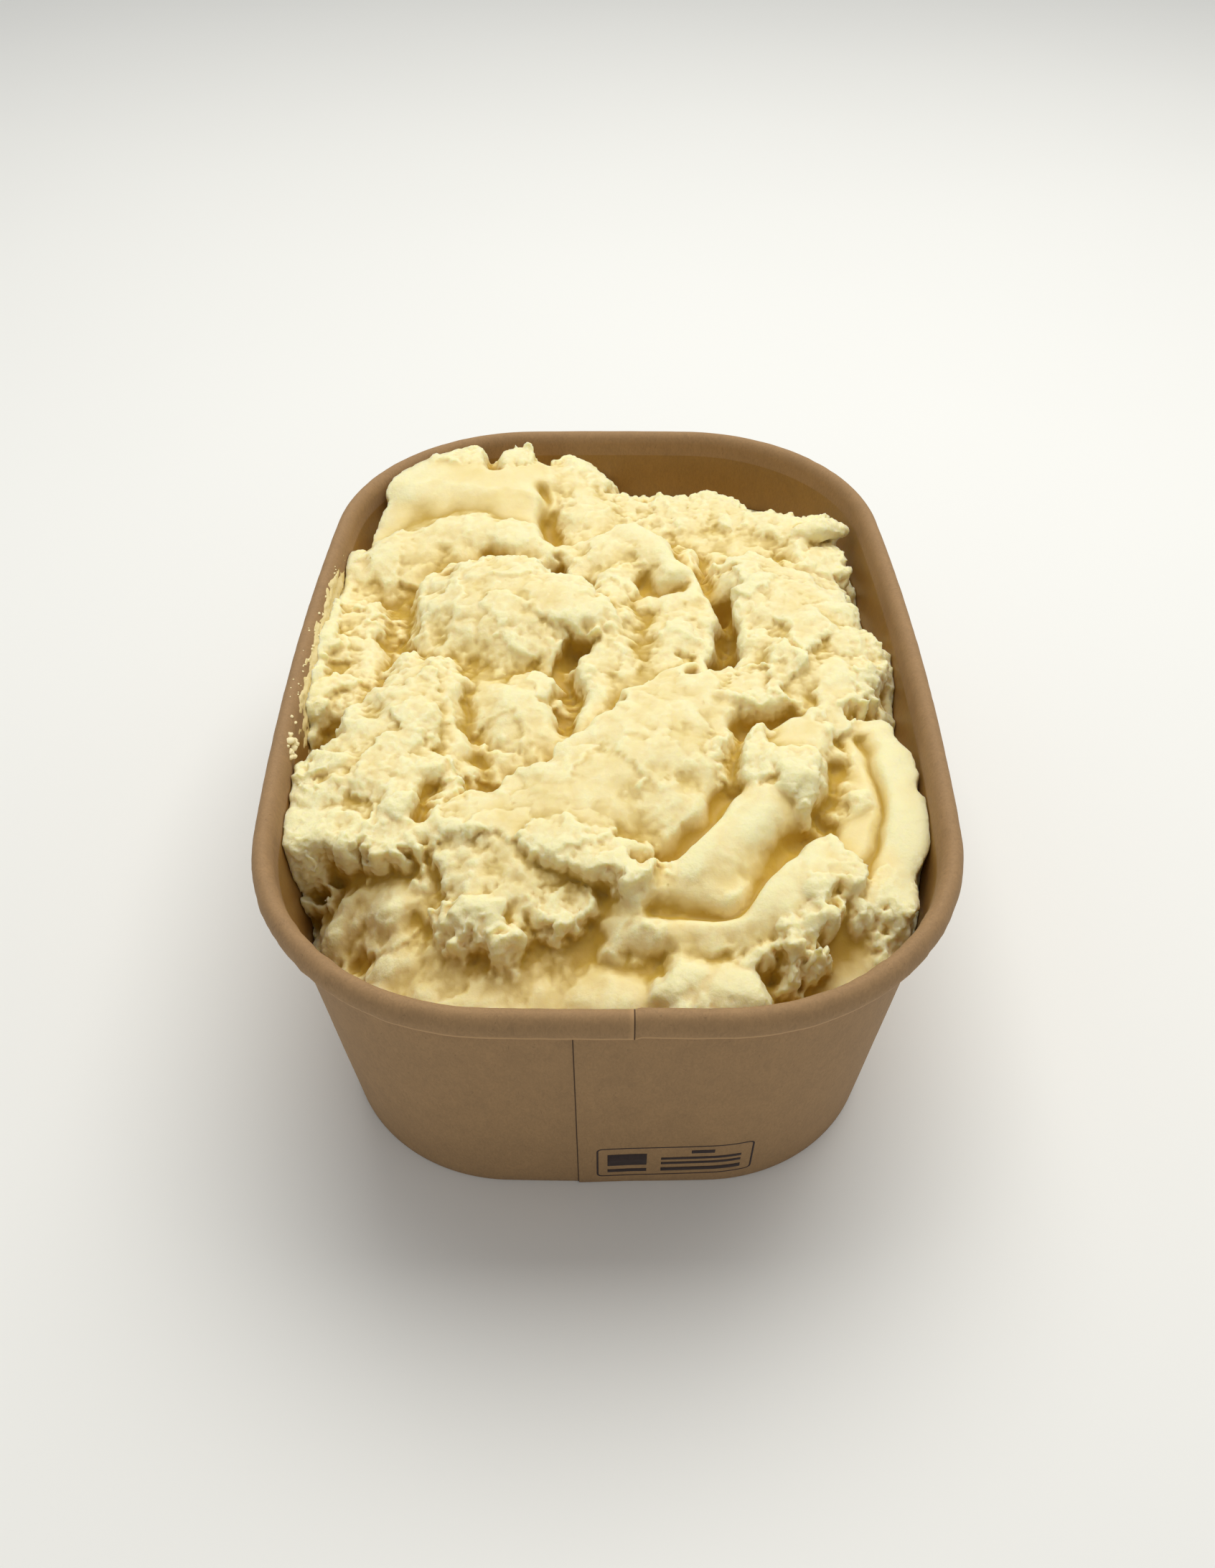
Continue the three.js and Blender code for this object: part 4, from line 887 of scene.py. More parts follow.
def kraft_board(name, colour, roughness, coat):
    """Unbleached kraft paperboard, calendered: matt tan with brown fibres, pale flecks and soft clouds.

    The inner face has a thin heat-seal coat, which deepens the colour and gives it a soft sheen. A cut
    edge shows the paler core of the board, and a band low on the roll's outer side is a painted highlight.
    """
    material, tree, place = new_material(name)
    flat = node(tree, "ShaderNodeMapping", {"Vector": place, "Scale": (1, 1, 0.45)}).outputs[0]
    cloud = node(tree, "ShaderNodeTexNoise", {"Vector": place, "Scale": 1 / (5 * MM), "Detail": 5.0})
    fibre = node(
        tree, "ShaderNodeTexNoise",
        {"Vector": flat, "Scale": 1 / (0.7 * MM), "Detail": 4.0, "Distortion": 1.6},
    )
    fleck = node(
        tree, "ShaderNodeTexNoise",
        {"Vector": flat, "Scale": 1 / (0.8 * MM), "Detail": 1.0, "Distortion": 2.5},
    )
    speck = node(
        tree, "ShaderNodeMapRange",
        {"Value": fleck.outputs["Fac"], "From Min": 0.68, "From Max": 0.8, "To Min": 0.0, "To Max": 0.7},
    )
    spread = node(
        tree, "ShaderNodeMapRange", {"Value": fibre.outputs["Fac"], "From Min": 0.33, "From Max": 0.67},
    )
    clouded = node(
        tree, "ShaderNodeMix",
        {"Factor": cloud.outputs["Fac"], MIX_LOW: shade(colour, 0.78), MIX_HIGH: shade(colour, 1.22)},
        data_type="RGBA",
    )
    fibred = node(
        tree, "ShaderNodeMix",
        {"Factor": spread.outputs[0], MIX_LOW: shade(colour, 0.8), MIX_HIGH: shade(colour, 1.14)},
        data_type="RGBA",
    )
    both = node(
        tree, "ShaderNodeMix",
        {"Factor": 0.5, MIX_LOW: clouded.outputs[MIXED], MIX_HIGH: fibred.outputs[MIXED]},
        data_type="RGBA",
    )
    marked = node(
        tree, "ShaderNodeMix",
        {"Factor": speck.outputs[0], MIX_LOW: both.outputs[MIXED], MIX_HIGH: shade(colour, 0.62)},
        data_type="RGBA",
    )
    # Lighter at the board's cut edges, and as a painted highlight low on the roll.
    cut = node(tree, "ShaderNodeAttribute", attribute_name="cut_edge_and_painted_highlight")
    edged = node(
        tree, "ShaderNodeMix",
        {"Factor": cut.outputs["Fac"], MIX_LOW: marked.outputs[MIXED], MIX_HIGH: shade(colour, 1.5)},
        data_type="RGBA",
    )
    bump = node(
        tree, "ShaderNodeBump", {"Height": fibre.outputs["Fac"], "Strength": 0.18, "Distance": 0.12 * MM},
    )
    shader = node(
        tree, "ShaderNodeBsdfPrincipled",
        {
            "Base Color": edged.outputs[MIXED], "Roughness": roughness, "IOR": 1.5,
            "Normal": bump.outputs[0], "Coat Weight": coat, "Coat Roughness": 0.35,
        },
    )
    node(tree, "ShaderNodeOutputMaterial", {"Surface": shader.outputs[0]})
    return material


def printing_ink(name, colour):
    """Flexographic ink soaked into the board: brown-black and dull, a little broken by the fibres."""
    material, tree, place = new_material(name)
    grain = node(tree, "ShaderNodeTexNoise", {"Vector": place, "Scale": 1 / (0.4 * MM), "Detail": 2.0})
    tone = node(
        tree, "ShaderNodeMix",
        {"Factor": grain.outputs["Fac"], MIX_LOW: shade(colour, 0.7), MIX_HIGH: shade(colour, 1.7)},
        data_type="RGBA",
    )
    shader = node(
        tree, "ShaderNodeBsdfPrincipled", {"Base Color": tone.outputs[MIXED], "Roughness": 0.75, "IOR": 1.5},
    )
    node(tree, "ShaderNodeOutputMaterial", {"Surface": shader.outputs[0]})
    return material


def potato_mash(name, settings, depth):
    """Boiled potato mashed with butter: moist and translucent, pale where torn, with painted highlight on
    crests and painted golden shade in the cracks.

    The depth is how far light spreads in it. In a grain that is too small for that, none goes in.
    """
    material, tree, place = new_material(name)
    torn = node(tree, "ShaderNodeAttribute", attribute_name="torn")
    hollow_shade = node(tree, "ShaderNodeAttribute", attribute_name="hollow_shade")
    patch = node(tree, "ShaderNodeTexNoise", {"Vector": place, "Scale": 1 / (7 * MM), "Detail": 3.0})
    grain = node(
        tree, "ShaderNodeTexNoise",
        {"Vector": place, "Scale": 1 / (0.8 * MM), "Detail": 3.0, "Roughness": 0.6},
    )
    crumb = node(
        tree, "ShaderNodeTexNoise",
        {"Vector": place, "Scale": 1 / (2.2 * MM), "Detail": 2.0, "Roughness": 0.5},
    )
    mottle = node(
        tree, "ShaderNodeMapRange",
        {"Value": patch.outputs["Fac"], "From Min": 0.3, "From Max": 0.7, "To Min": -0.25, "To Max": 0.25},
    )
    # Pale where the mash is torn and crumbly, and as painted highlight on crests and high places; the random
    # mottle is its own tone.
    pale = node(
        tree, "ShaderNodeMath", {0: torn.outputs["Fac"], 1: mottle.outputs[0]},
        operation="ADD", use_clamp=True,
    )
    cream = node(
        tree, "ShaderNodeMix",
        {"Factor": pale.outputs[0], MIX_LOW: linear(settings.butter), MIX_HIGH: linear(settings.cream)},
        data_type="RGBA",
    )
    # Painted shade: golden where the mash is hollow or low.
    deep = node(
        tree, "ShaderNodeMix",
        {"Factor": hollow_shade.outputs["Fac"], MIX_LOW: cream.outputs[MIXED], MIX_HIGH: linear(settings.hollow_shade_colour)},
        data_type="RGBA",
    )
    rough = node(tree, "ShaderNodeMapRange", {"Value": pale.outputs[0], "To Min": 0.12, "To Max": 0.45})
    lumpy = node(
        tree, "ShaderNodeBump",
        {"Height": crumb.outputs["Fac"], "Strength": rough.outputs[0], "Distance": 0.4 * MM},
    )
    grainy = node(
        tree, "ShaderNodeBump",
        {
            "Height": grain.outputs["Fac"], "Strength": rough.outputs[0], "Distance": 0.4 * MM,
            "Normal": lumpy.outputs[0],
        },
    )
    shader = node(
        tree, "ShaderNodeBsdfPrincipled",
        {
            "Base Color": deep.outputs[MIXED], "Roughness": 0.5, "IOR": 1.4, "Specular IOR Level": 0.35,
            "Normal": grainy.outputs[0], "Subsurface Weight": 0.9 if depth else 0.0,
            "Subsurface Radius": (1.0, 0.9, 0.42), "Subsurface Scale": depth,
        },
    )
    node(tree, "ShaderNodeOutputMaterial", {"Surface": shader.outputs[0]})
    return material


def painted_floor(name, colour):
    """A matt painted board: plain and pale, with the faintest unevenness."""
    material, tree, place = new_material(name)
    cloud = node(tree, "ShaderNodeTexNoise", {"Vector": place, "Scale": 1 / (180 * MM), "Detail": 2.0})
    tone = node(
        tree, "ShaderNodeMix",
        {"Factor": cloud.outputs["Fac"], MIX_LOW: shade(colour, 0.985), MIX_HIGH: shade(colour, 1.015)},
        data_type="RGBA",
    )
    shader = node(
        tree, "ShaderNodeBsdfPrincipled", {"Base Color": tone.outputs[MIXED], "Roughness": 0.6, "IOR": 1.45},
    )
    node(tree, "ShaderNodeOutputMaterial", {"Surface": shader.outputs[0]})
    return material


def material_once(name, maker, *arguments):
    """The material of that name, made when it is first asked for."""
    return bpy.data.materials.get(name) or maker(name, *arguments)


def kraft_outside(context):
    """The bare outer face of the board."""
    return material_once("kraft_board_outside", kraft_board, context.scene.bowl_settings.outside, 0.8, 0.0)


def kraft_inside(context):
    """The coated inner face of the board. Its deeper, more orange colour is partly the coat and partly
    painted bounce light from the mash.
    """
    return material_once("kraft_board_coated", kraft_board, context.scene.bowl_settings.inside, 0.5, 0.25)


def kraft_painted_lap_shade(context):
    """The step beside the cut edge of a lapped sheet, in a dark colour that is painted shade."""
    return material_once("kraft_board_painted_lap_shade", kraft_board, context.scene.bowl_settings.edge, 0.9, 0.0)


def mash_body(context):
    """The heap, deep enough for light to spread in it."""
    return material_once("potato_mash", potato_mash, context.scene.mash_settings, 1.4 * MM)


def mash_grain(context):
    """Thin smears and small crumbs, with no light inside."""
    return material_once("potato_mash_grains", potato_mash, context.scene.mash_settings, 0)


# ---- Operators ----


class MASH_OT_side_wall(bpy.types.Operator):
    """Lapped side wall with its rolled rim and hemmed foot."""

    bl_idname = "mash_side.side_wall"
    bl_label = "Side wall"

    def execute(self, context):
        bm = swept(sidewall_profile(), True, 0.9)
        bm.verts.ensure_lookup_table()
        layer = bm.verts.layers.int["part"]
        parts = np.array([v[layer] for v in bm.verts])
        points = places(bm.verts)
        move_to(bm.verts, lap_and_crease(points, parts, context.scene.bowl_settings.wrinkle / MM))
        lap = {OUTSIDE: OUTER_LAP_X - LAP_EDGE / 2, ROLL: INNER_LAP_X + LAP_EDGE / 2}
        for face in bm.faces:
            kinds = {v[layer] for v in face.verts}
            middle = face.calc_center_median()
            kind = min(kinds)
            on_lap = middle.y < LAP_ZONE and kind in lap and abs(middle.x - lap[kind]) < LAP_EDGE / 2
            # Faces on a lap's step take the dark material, which is painted shade.
            face.material_index = 2 if on_lap else int(kinds <= {INSIDE, HEM})
        materials = [kraft_outside(context), kraft_inside(context), kraft_painted_lap_shade(context)]
        piece = new_piece("paper_side_wall", bm, materials, ["sidewall"])
        give(piece.data, "cut_edge_and_painted_highlight", pale_core_and_painted_highlight(points, parts))
        return {"FINISHED"}


def pale_core_and_painted_highlight(points, parts):
    """How much lighter the board is painted: its pale core at the tuck and beside its lap, and a painted
    highlight low on the outer side of the roll.
    """
    x, y, z = points.T
    on_roll = parts == ROLL
    outer_half = beside_rim(x, y)[0] > -ROLL_WIDTH / 2 + 0.2
    # Painted highlight along the lower outer side of the roll.
    low_on_roll = on_roll & outer_half & (z < HEIGHT - 4.1)
    beside_lap = on_roll & (y < LAP_ZONE) & (np.abs(x - INNER_LAP_X) < 0.06)
    return np.clip(0.9 * (parts == TUCK) + 0.75 * low_on_roll + 0.6 * beside_lap, 0, 1)


class MASH_OT_base_pan(bpy.types.Operator):
    """Base pan, whose skirt is gripped by the foot's hem."""

    bl_idname = "mash_side.base_pan"
    bl_label = "Base pan"

    def execute(self, context):
        foot = BOARD + FIT_GAP
        top_reach, foot_reach = (float(wall_offset(z)) - BOARD - FIT_GAP for z in (PAN_RECESS, foot))
        bend = 0.8  # inner radius of the fold between the pan and its skirt
        corner = bend + BOARD
        middle = (top_reach - corner, PAN_RECESS - corner)
        flat_edge = middle[0] - 6
        profile = [(flat_edge, PAN_RECESS - BOARD, 1)]
        profile += arc_points(middle, (bend, bend), 90, 0, 6, 1)
        profile += [(foot_reach - BOARD, foot, 1), (foot_reach, foot, 0)]
        profile += arc_points(middle, (corner, corner), 0, 90, 7, 0)
        profile += [(flat_edge, PAN_RECESS, 0)]
        bm = swept(profile, False, 1.6)
        rings = [e for e in bm.edges if e.is_boundary]
        for z in (PAN_RECESS - BOARD, PAN_RECESS):
            ring = [e for e in rings if abs(e.verts[0].co.z - z) < 1e-3]
            bmesh.ops.contextual_create(bm, geom=ring)
        bmesh.ops.recalc_face_normals(bm, faces=bm.faces)
        new_piece("paper_base_pan", bm, [kraft_outside(context)], ["base"])
        return {"FINISHED"}


class MASH_OT_printed_frame(bpy.types.Operator):
    """Small printed frame with plain bars, low on the front of the side wall."""

    bl_idname = "mash_side.printed_frame"
    bl_label = "Printed frame"

    def execute(self, context):
        bm = bmesh.new()
        left, right, low, high = FRAME_SIDES
        near, far = left + FRAME_CORNER, right - FRAME_CORNER
        foot, top = low + FRAME_CORNER, high - FRAME_CORNER
        turns = ((far, foot, -90), (far, top, 0), (near, top, 90), (near, foot, 180))
        radii = (FRAME_CORNER, FRAME_CORNER)
        ring = []
        for x, z, start in turns:
            for px, pz, _ in arc_points((x, z), radii, start, start + 90, 6, 0):
                ring.append(bm.verts.new((px, 0, pz)))
        edges = [bm.edges.new(pair) for pair in zip(ring, ring[1:] + ring[:1])]
        sides = [e for e in edges if e.calc_length() > 2 * FRAME_CORNER]
        bmesh.ops.subdivide_edges(bm, edges=sides, cuts=23)
        face = bmesh.ops.contextual_create(bm, geom=bm.edges[:])["faces"]
        bmesh.ops.inset_region(
            bm, faces=face, thickness=FRAME_LINE, use_boundary=True, use_even_offset=True,
        )
        bmesh.ops.delete(bm, geom=face, context="FACES")
        for x0, x1, z0, z1 in FRAME_BARS:
            verts = bmesh.ops.create_grid(bm, x_segments=12, y_segments=1, size=0.5)["verts"]
            for v in verts:
                v.co = (x0 + (v.co.x + 0.5) * (x1 - x0), 0, z0 + (v.co.y + 0.5) * (z1 - z0))
        wrap_on_front(bm, (left + right) / 2)
        thicken(bm, Vector((0, -1, 0)), 0.02)
        ink = material_once("printing_ink", printing_ink, context.scene.bowl_settings.ink)
        new_piece("printed_frame", bm, [ink])
        return {"FINISHED"}


def thicken(bm, outward, thickness):
    """Turns a thin sheet's faces to look outward and gives it a back."""
    bmesh.ops.recalc_face_normals(bm, faces=bm.faces)
    if sum(f.normal.dot(outward) for f in bm.faces) < 0:
        bmesh.ops.reverse_faces(bm, faces=bm.faces)
    bmesh.ops.solidify(bm, geom=bm.faces[:], thickness=thickness)


def front_line(x, offset):
    """Where the front of the outline lies at an offset outwards from the rim, as y."""
    side = np.abs(x)
    on_short = side < (SHORT_RADIUS + offset) * math.sin(SHORT_TURN)
    short = LENGTH / 2 - SHORT_RADIUS + np.sqrt((SHORT_RADIUS + offset) ** 2 - x**2)
    corner = CORNER_Y + np.sqrt((CORNER_RADIUS + offset) ** 2 - np.maximum(side - CORNER_X, 0) ** 2)
    return -np.where(on_short, short, corner)


def wrap_on_front(bm, middle):
    """Lays a flat print on the front of the side wall, tilted about its middle."""
    x, _, z = places(bm.verts).T
    z = z + PRINT_TILT * (x - middle)
    offset = wall_offset(z) + fading_step(x - OUTER_LAP_X) + PRINT_LIFT
    offset = offset + wall_wave(x, front_line(x, offset), z)
    move_to(bm.verts, np.stack([x, front_line(x, offset), z], 1))


def heap_shell():
    """The heap as a closed block, with its torn top, its sides along the wall and its flat bottom.

    With it come grids of its crumbliness, its height softened over a few millimetres, and its slope.
    """
    half = (WIDTH / 2, LENGTH / 2)
    nx, ny = (int(2 * h / GRID_STEP) for h in half)
    bm = bmesh.new()
    bmesh.ops.create_grid(bm, x_segments=nx, y_segments=ny, size=1)
    bm.verts.ensure_lookup_table()
    x, y = (places(bm.verts)[:, :2] * half).T
    height, crumbly = heap_height(x, y)
    rows = np.lexsort((x, y)).reshape(ny + 1, nx + 1)
    step = (2 * half[0] / nx, 2 * half[1] / ny)
    grid = height[rows]
    rise = grid - blurred(grid, WIDE_BLUR)
    slope_y, slope_x = np.gradient(blurred(grid, NARROW_BLUR), step[1], step[0])
    slope = np.hypot(slope_x, slope_y)
    uneven = 1 + 0.6 * noise(x[rows] / 6, y[rows] / 6, 71.3)
    lean = LEAN * uneven * np.clip(rise, -4, 4) / (slope + 0.6)
    x[rows] -= slope_x * lean
    y[rows] -= slope_y * lean
    fields = {"crumbly": crumbly[rows], "mean": grid - rise, "slope": slope, "step": step, "half": half}
    over = beside_rim(x, y)[0] - mash_limit(y, height)
    move_to(bm.verts, np.stack([x, y, height], 1))
    beyond = [v for v, past in zip(bm.verts[:], over) if past >= 0.5 * GRID_STEP]
    bmesh.ops.delete(bm, geom=beyond, context="VERTS")
    loose = [v for v in bm.verts if not v.link_faces]
    bmesh.ops.delete(bm, geom=loose, context="VERTS")
    snap_to_wall([v for v in bm.verts if v.is_boundary])
    rim = [e for e in bm.edges if e.is_boundary]
    skirt = bmesh.ops.extrude_edge_only(bm, edges=rim)["geom"]
    lower = [g for g in skirt if isinstance(g, bmesh.types.BMVert)]
    for vert in lower:
        vert.co.z = PAN_RECESS + FIT_GAP
    snap_to_wall(lower)
    bmesh.ops.contextual_create(bm, geom=[g for g in skirt if isinstance(g, bmesh.types.BMEdge)])
    bmesh.ops.recalc_face_normals(bm, faces=bm.faces)
    return bm, fields


def snap_to_wall(verts):
    """Moves vertices sideways onto the inner face of the wall."""
    x, y, z = places(verts).T
    offset, nx, ny = beside_rim(x, y)
    move = mash_limit(y, z) - offset
    move_to(verts, np.stack([x + nx * move, y + ny * move, z], 1))


def add_lip(bm, crest, width, depth, bump):
    """One lip: a ball stretched along its crest and roughened."""
    line = trace_line(crest)
    spans = np.linalg.norm(np.diff(line, axis=0), axis=1)
    reach = np.concatenate([[0], np.cumsum(spans)])
    length = reach[-1]
    half_length = length / 2 + width
    verts = bmesh.ops.create_icosphere(bm, subdivisions=5, radius=1)["verts"]
    unit = places(verts)
    along = length / 2 + unit[:, 0] * half_length
    held = np.clip(along, 0, length)
    on_line = np.stack([np.interp(held, reach, line[:, a]) for a in range(3)], 1)
    ahead, behind = (np.clip(held + nudge, 0, length) for nudge in (0.05 * length, -0.05 * length))
    tangent = np.stack(
        [np.interp(ahead, reach, line[:, a]) - np.interp(behind, reach, line[:, a]) for a in range(3)], 1,
    )
    tangent /= np.linalg.norm(tangent, axis=1)[:, None]
    side = np.stack([-tangent[:, 1], tangent[:, 0], 0 * tangent[:, 0]], 1)
    side /= np.linalg.norm(side, axis=1)[:, None]
    points = on_line + tangent * (along - held)[:, None] + side * (unit[:, 1] * width)[:, None]
    points[:, 2] += (unit[:, 2] - 1) * depth
    outward = side * (unit[:, 1] / width)[:, None] + tangent * (unit[:, 0] / half_length)[:, None]
    outward[:, 2] += unit[:, 2] / depth
    outward /= np.linalg.norm(outward, axis=1)[:, None]
    at = points.T / BUMP_SIZE
    rough = 1.3 * noise(*at) + 0.8 * noise(*(2.1 * at)) + 0.7 * noise(*(4.7 * at))
    move_to(verts, points + outward * (bump * rough)[:, None])


def sampled(field, fields, x, y):
    """A grid field read between its points."""
    values = fields[field]
    (sx, sy), (hx, hy) = fields["step"], fields["half"]
    gx = np.clip((x + hx) / sx, 0, values.shape[1] - 1.001)
    gy = np.clip((y + hy) / sy, 0, values.shape[0] - 1.001)
    ix, iy = gx.astype(int), gy.astype(int)
    fx, fy = gx - ix, gy - iy
    low = values[iy, ix] * (1 - fx) + values[iy, ix + 1] * fx
    high = values[iy + 1, ix] * (1 - fx) + values[iy + 1, ix + 1] * fx
    return low * (1 - fy) + high * fy


def smoothed(points, edges, rounds):
    """Points moved to the mean of their neighbours, several times."""
    a, b = edges.T
    count = np.bincount(a, minlength=len(points)) + np.bincount(b, minlength=len(points))
    for _ in range(rounds):
        total = np.stack(
            [
                np.bincount(a, points[b, k], len(points)) + np.bincount(b, points[a, k], len(points))
                for k in range(3)
            ],
            1,
        )
        points = 0.4 * points + 0.6 * total / np.maximum(count, 1)[:, None]
    return points


def edges_of(mesh):
    """The two vertices of each edge, as an array."""
    flat = np.empty(2 * len(mesh.edges), np.int32)
    mesh.edges.foreach_get("vertices", flat)
    return flat.reshape(-1, 2)


class MASH_OT_heap(bpy.types.Operator):
    """Heap of mash with its torn lobes, lips, crumbly crests and smooth swiped faces."""

    bl_idname = "mash_side.heap"
    bl_label = "Heap of mash"

    def execute(self, context):
        settings = context.scene.mash_settings
        bm, fields = heap_shell()
        for crest, width, depth, bump in LIPS.values():
            add_lip(bm, crest, width, depth, bump)
        mesh = bpy.data.meshes.new("mash_heap")
        bm.to_mesh(mesh)
        bm.free()
        mesh = modified(mesh, "REMESH", mode="VOXEL", voxel_size=VOXEL)
        points = roughened(points_of(mesh), normals_of(mesh), fields, settings.crumb / MM)
        set_points(mesh, inside_bowl(points) * MM)
        triangles = sum(len(p.vertices) - 2 for p in mesh.polygons)
        mesh = modified(mesh, "DECIMATE", ratio=min(1.0, MASH_TRIANGLES / triangles))
        piece = dressed(mesh, "mash_heap", [mash_body(context)], ["mash"])
        tone_mash(piece.data, fields)
        return {"FINISHED"}


def roughened(points, normals, fields, crumb):
    """The heap's points with tufts where it is torn, and clumps, crumbs and grain on its faces."""
    x, y, z = points.T
    clear = np.clip((mash_limit(y, z) - beside_rim(x, y)[0]) / WALL_EASE, 0, 1)
    clear *= np.clip((z - LOWEST_TORN) / 5, 0, 1)
    active = clear > 0
    at = points[active]
    x, y, z = at.T
    crumbly = sampled("crumbly", fields, x, y)
    rise = z - sampled("mean", fields, x, y)
    steep = np.clip(sampled("slope", fields, x, y) / 1.5, 0, 1)
    edge = 0.25 + 0.85 * steep * np.clip(0.3 + rise / 2.5, 0, 1)
    patchy = 0.85 + 0.9 * noise(x / 9, y / 9, z / 9)
    rough = np.clip(edge * patchy * crumbly**1.3 * np.clip(1 + 0.35 * rise, 0.1, 1.2), 0.03, 1.2)
    grainy = np.clip(np.maximum(crumbly * (0.75 + 0.9 * noise(*(at / 6 + 40).T)), rough), 0.06, 1)
    tuft = sum(reach * noise_vector(at / size) for size, reach in TUFTS)
    clumps = lumps(at + 0.5 * tuft, CLUMP_SIZE)[0]
    crumbs = lumps(at + 0.5 * tuft, CRUMB_SIZE)[0]
    push = crumb * (0.9 * rough * (clumps - 0.6) + 1.3 * grainy * (crumbs - 0.65))
    push += GRAIN_HEIGHT * grainy * noise(*(at / GRAIN_SIZE).T)
    points[active] += clear[active][:, None] * (rough[:, None] * tuft + normals[active] * push[:, None])
    return points


def inside_bowl(points):
    """The heap's points, held clear of the wall and of the pan."""
    offset, nx, ny = beside_rim(points[:, 0], points[:, 1])
    over = np.maximum(offset - mash_limit(points[:, 1], points[:, 2]), 0)
    z = np.maximum(points[:, 2], PAN_RECESS + FIT_GAP)
    return np.stack([points[:, 0] - nx * over, points[:, 1] - ny * over, z], 1)


def tone_mash(mesh, fields):
    """Stores, for its colour, where the mash is torn and paler with a painted highlight on crests and high
    places, and where painted shade falls in its creases, hollows and low places.
    """
    points = points_of(mesh) / MM
    normals = normals_of(mesh)
    edges = edges_of(mesh)
    near = smoothed(points, edges, 12)
    far = smoothed(near, edges, 60)
    crest = ((points - near) * normals).sum(1)
    dome = ((points - far) * normals).sum(1)
    rise = points[:, 2] - sampled("mean", fields, points[:, 0], points[:, 1])
    crumbly = sampled("crumbly", fields, points[:, 0], points[:, 1])
    # Paler where crumbly, and as painted highlight on crests, domes and high places.
    give(mesh, "torn", np.clip(0.1 + 0.35 * crumbly + 1.2 * crest + 0.3 * dome + 0.16 * rise, 0, 1))
    # Painted shade in creases, hollows and low places.
    give(mesh, "hollow_shade", np.clip(-0.9 * crest - 0.7 * dome - 0.24 * rise - 0.1, 0, 1))


class MASH_OT_crumbs(bpy.types.Operator):
    """Crumbs of mash stuck to the rim and the wall on the left."""

    bl_idname = "mash_side.crumbs"
    bl_label = "Crumbs"

    def execute(self, context):
        rng = np.random.default_rng(7)
        bm = bmesh.new()
        # Fine grains along the inner side of the roll.
        for _ in range(34):
            place = on_left_rim(rng.uniform(-20, 34), rng.normal(150, 12))
            crumb_ball(bm, place, rng.uniform(0.14, 0.34), rng)
        # A few finer ones up on top of it.
        for _ in range(8):
            place = on_left_rim(rng.uniform(-20, 10), rng.uniform(85, 140))
            crumb_ball(bm, place, rng.uniform(0.12, 0.22), rng)
        # The clump of larger crumbs at the smear's near end.
        for _ in range(16):
            place = on_left_rim(rng.uniform(-27, -21.5), rng.uniform(140, 185))
            crumb_ball(bm, place, rng.uniform(0.35, 0.85), rng)
        piece = new_piece("rim_crumbs", bm, [mash_grain(context)])
        give(piece.data, "torn", 0.75)
        give(piece.data, "hollow_shade", 0.0)
        return {"FINISHED"}


def left_edge(y):
    """Where the rim's outer edge is on the left side, as x."""
    return LONG_RADIUS - WIDTH / 2 - np.sqrt(LONG_RADIUS**2 - y**2)


def on_left_rim(y, degrees):
    """A place on the left side's roll, at an angle round it: 90 is on top and 180 is inside."""
    angle = math.radians(degrees)
    x = left_edge(y) + ROLL_WIDTH / 2 * (1 - math.cos(angle))
    return x, y, HEIGHT - ROLL_HEIGHT / 2 + ROLL_HEIGHT / 2 * math.sin(angle)


class MASH_OT_wall_smear(bpy.types.Operator):
    """Smear of mash that the spoon left on the left wall, up to the rim."""

    bl_idname = "mash_side.wall_smear"
    bl_label = "Wall smear"

    def execute(self, context):
        bm = bmesh.new()
        bmesh.ops.create_grid(bm, x_segments=170, y_segments=56, size=1)
        side, up, _ = places(bm.verts).T
        y = SMEAR_MIDDLE + SMEAR_REACH * side
        rise = 0.5 + 0.5 * up
        over = np.clip((rise - SMEAR_ON_WALL) / (1 - SMEAR_ON_WALL), 0, 1)
        roll_middle = HEIGHT - ROLL_HEIGHT / 2
        wall_z = SMEAR_FOOT + (roll_middle - SMEAR_FOOT) * np.minimum(rise / SMEAR_ON_WALL, 1)
        turn = np.pi - over * math.radians(SMEAR_TURN)
        inward = np.where(over > 0, (1 - np.cos(turn)) / 2 * ROLL_WIDTH, BOARD - wall_offset(wall_z))
        z = np.where(over > 0, roll_middle + ROLL_HEIGHT / 2 * np.sin(turn), wall_z)
        streak = noise(y / 7, z / 2.4, 5.2) + 0.6 * noise(y / 2.6, z / 1.2, 15.2)
        streak += 0.35 * noise(y / 0.9, z / 0.7, 25.2)
        ragged_top = np.clip(over - 0.2 - 0.35 * noise(y / 6, 3.3, 7.7), 0, 1)
        fade = 1 - 1.2 * np.abs(side) ** 3 - 1.5 * ragged_top
        thick = np.clip(0.9 * streak + 0.75 * fade - 0.25, -SMEAR_SUNK, SMEAR_THICK)
        edge = np.clip(np.minimum(1 - np.abs(side), 1 - np.abs(up)) / 0.03, 0, 1)
        thick = (thick + SMEAR_SUNK) * edge - SMEAR_SUNK
        x = left_edge(y) + inward - thick * np.where(over > 0, np.cos(turn), -1.0)
        z = z + thick * np.where(over > 0, np.sin(turn), 0.0)
        move_to(bm.verts, np.stack([x, y, z], 1))
        thicken(bm, Vector((1, 0, 0)), 0.08)
        piece = new_piece("wall_smear", bm, [mash_grain(context)])
        give(piece.data, "torn", 0.5)
        # The smear takes a little of the golden shade colour all over.
        give(piece.data, "hollow_shade", 0.22)
        return {"FINISHED"}


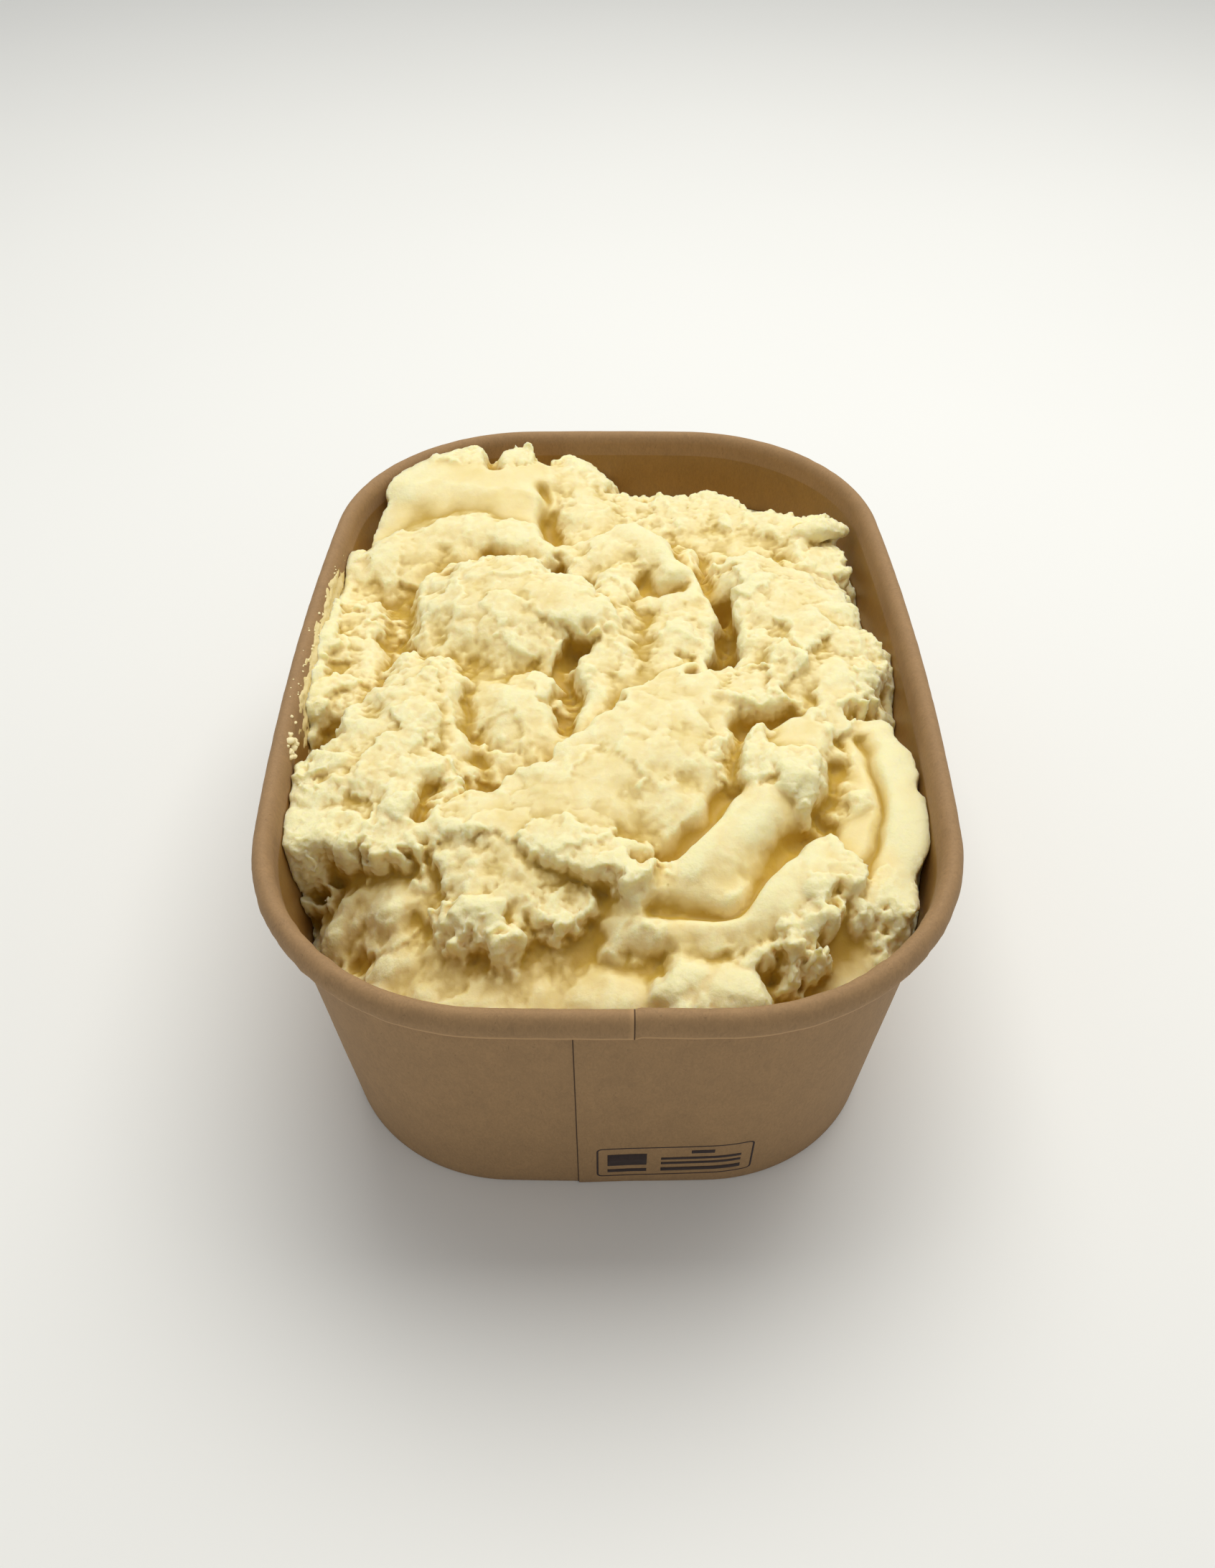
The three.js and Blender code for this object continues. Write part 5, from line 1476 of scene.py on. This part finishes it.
def crumb_ball(bm, place, size, rng):
    """One crumb: a flattened, knobbly lump."""
    verts = bmesh.ops.create_icosphere(bm, subdivisions=2, radius=1)["verts"]
    shift = rng.uniform(0, 90)
    stretch = rng.uniform(0.7, 1.4, 3) * (1, 1, 0.6)
    unit = places(verts)
    x, y, z = 1.3 * unit.T
    knob = 1 + 0.5 * noise(x + shift, y, z)
    move_to(verts, np.array(place) + unit * stretch * size * knob[:, None])


class MASH_OT_stage(bpy.types.Operator):
    """Pale floor, soft studio light and the camera."""

    bl_idname = "mash_side.stage"
    bl_label = "Stage"

    def execute(self, context):
        scene = context.scene
        settings = scene.stage_settings
        bm = bmesh.new()
        bmesh.ops.create_grid(bm, x_segments=8, y_segments=8, size=FLOOR_HALF)
        mesh = bpy.data.meshes.new("floor")
        bm.to_mesh(mesh)
        bm.free()
        mesh.materials.append(painted_floor("painted_floor", settings.floor))
        floor = bpy.data.objects.new("floor", mesh)
        scene.collection.objects.link(floor)
        world = bpy.data.worlds.new("studio")
        world.use_nodes = True
        sky = world.node_tree.nodes["Background"]
        sky.inputs["Color"].default_value = linear("#FDFEFF")
        sky.inputs["Strength"].default_value = settings.sky
        scene.world = world
        data = bpy.data.lights.new("soft_lamp", "AREA")
        data.shape = "RECTANGLE"
        data.size, data.size_y = LAMP_SIZE
        data.energy = settings.lamp_power
        data.color = linear("#FFFDF8")[:3]
        lamp = bpy.data.objects.new("soft_lamp", data)
        scene.collection.objects.link(lamp)
        lamp.location = LAMP_PLACE
        lamp.rotation_euler = LAMP_TURN
        camera_data = bpy.data.cameras.new("camera")
        camera_data.sensor_fit = "VERTICAL"
        camera_data.sensor_height = SENSOR
        camera_data.lens = LENS
        camera = bpy.data.objects.new("camera", camera_data)
        scene.collection.objects.link(camera)
        camera.location = settings.camera_place
        camera.rotation_euler = (settings.camera_pitch, 0, 0)
        scene.camera = camera
        scene.view_settings.view_transform = "Standard"
        return {"FINISHED"}


class MASH_PT_panel(bpy.types.Panel):
    """Buttons and settings of the mash side, in the 3D view's sidebar."""

    bl_idname = "MASH_PT_panel"
    bl_label = "Mash side"
    bl_space_type = "VIEW_3D"
    bl_region_type = "UI"
    bl_category = "Mash side"

    def draw(self, context):
        layout = self.layout
        for operator in OPERATORS:
            layout.operator(operator.bl_idname)
        for group in SETTINGS:
            box = layout.box()
            for name in SETTINGS[group].__annotations__:
                box.prop(getattr(context.scene, group), name)


OPERATORS = (
    MASH_OT_stage,
    MASH_OT_side_wall,
    MASH_OT_base_pan,
    MASH_OT_printed_frame,
    MASH_OT_heap,
    MASH_OT_wall_smear,
    MASH_OT_crumbs,
)
SETTINGS = {"bowl_settings": BowlSettings, "mash_settings": MashSettings, "stage_settings": StageSettings}


def register():
    """Adds the settings, the operators and the panel."""
    for group, kind in SETTINGS.items():
        bpy.utils.register_class(kind)
        setattr(bpy.types.Scene, group, PointerProperty(type=kind))
    for kind in OPERATORS + (MASH_PT_panel,):
        bpy.utils.register_class(kind)


def unregister():
    """Takes the panel, the operators and the settings away again."""
    for kind in (MASH_PT_panel,) + OPERATORS:
        bpy.utils.unregister_class(kind)
    for group, kind in SETTINGS.items():
        delattr(bpy.types.Scene, group)
        bpy.utils.unregister_class(kind)


def main():
    """Builds the whole scene."""
    register()
    bpy.ops.mash_side.stage()
    bpy.ops.mash_side.side_wall()
    bpy.ops.mash_side.base_pan()
    bpy.ops.mash_side.printed_frame()
    bpy.ops.mash_side.heap()
    bpy.ops.mash_side.wall_smear()
    bpy.ops.mash_side.crumbs()


if __name__ == "__main__":
    main()
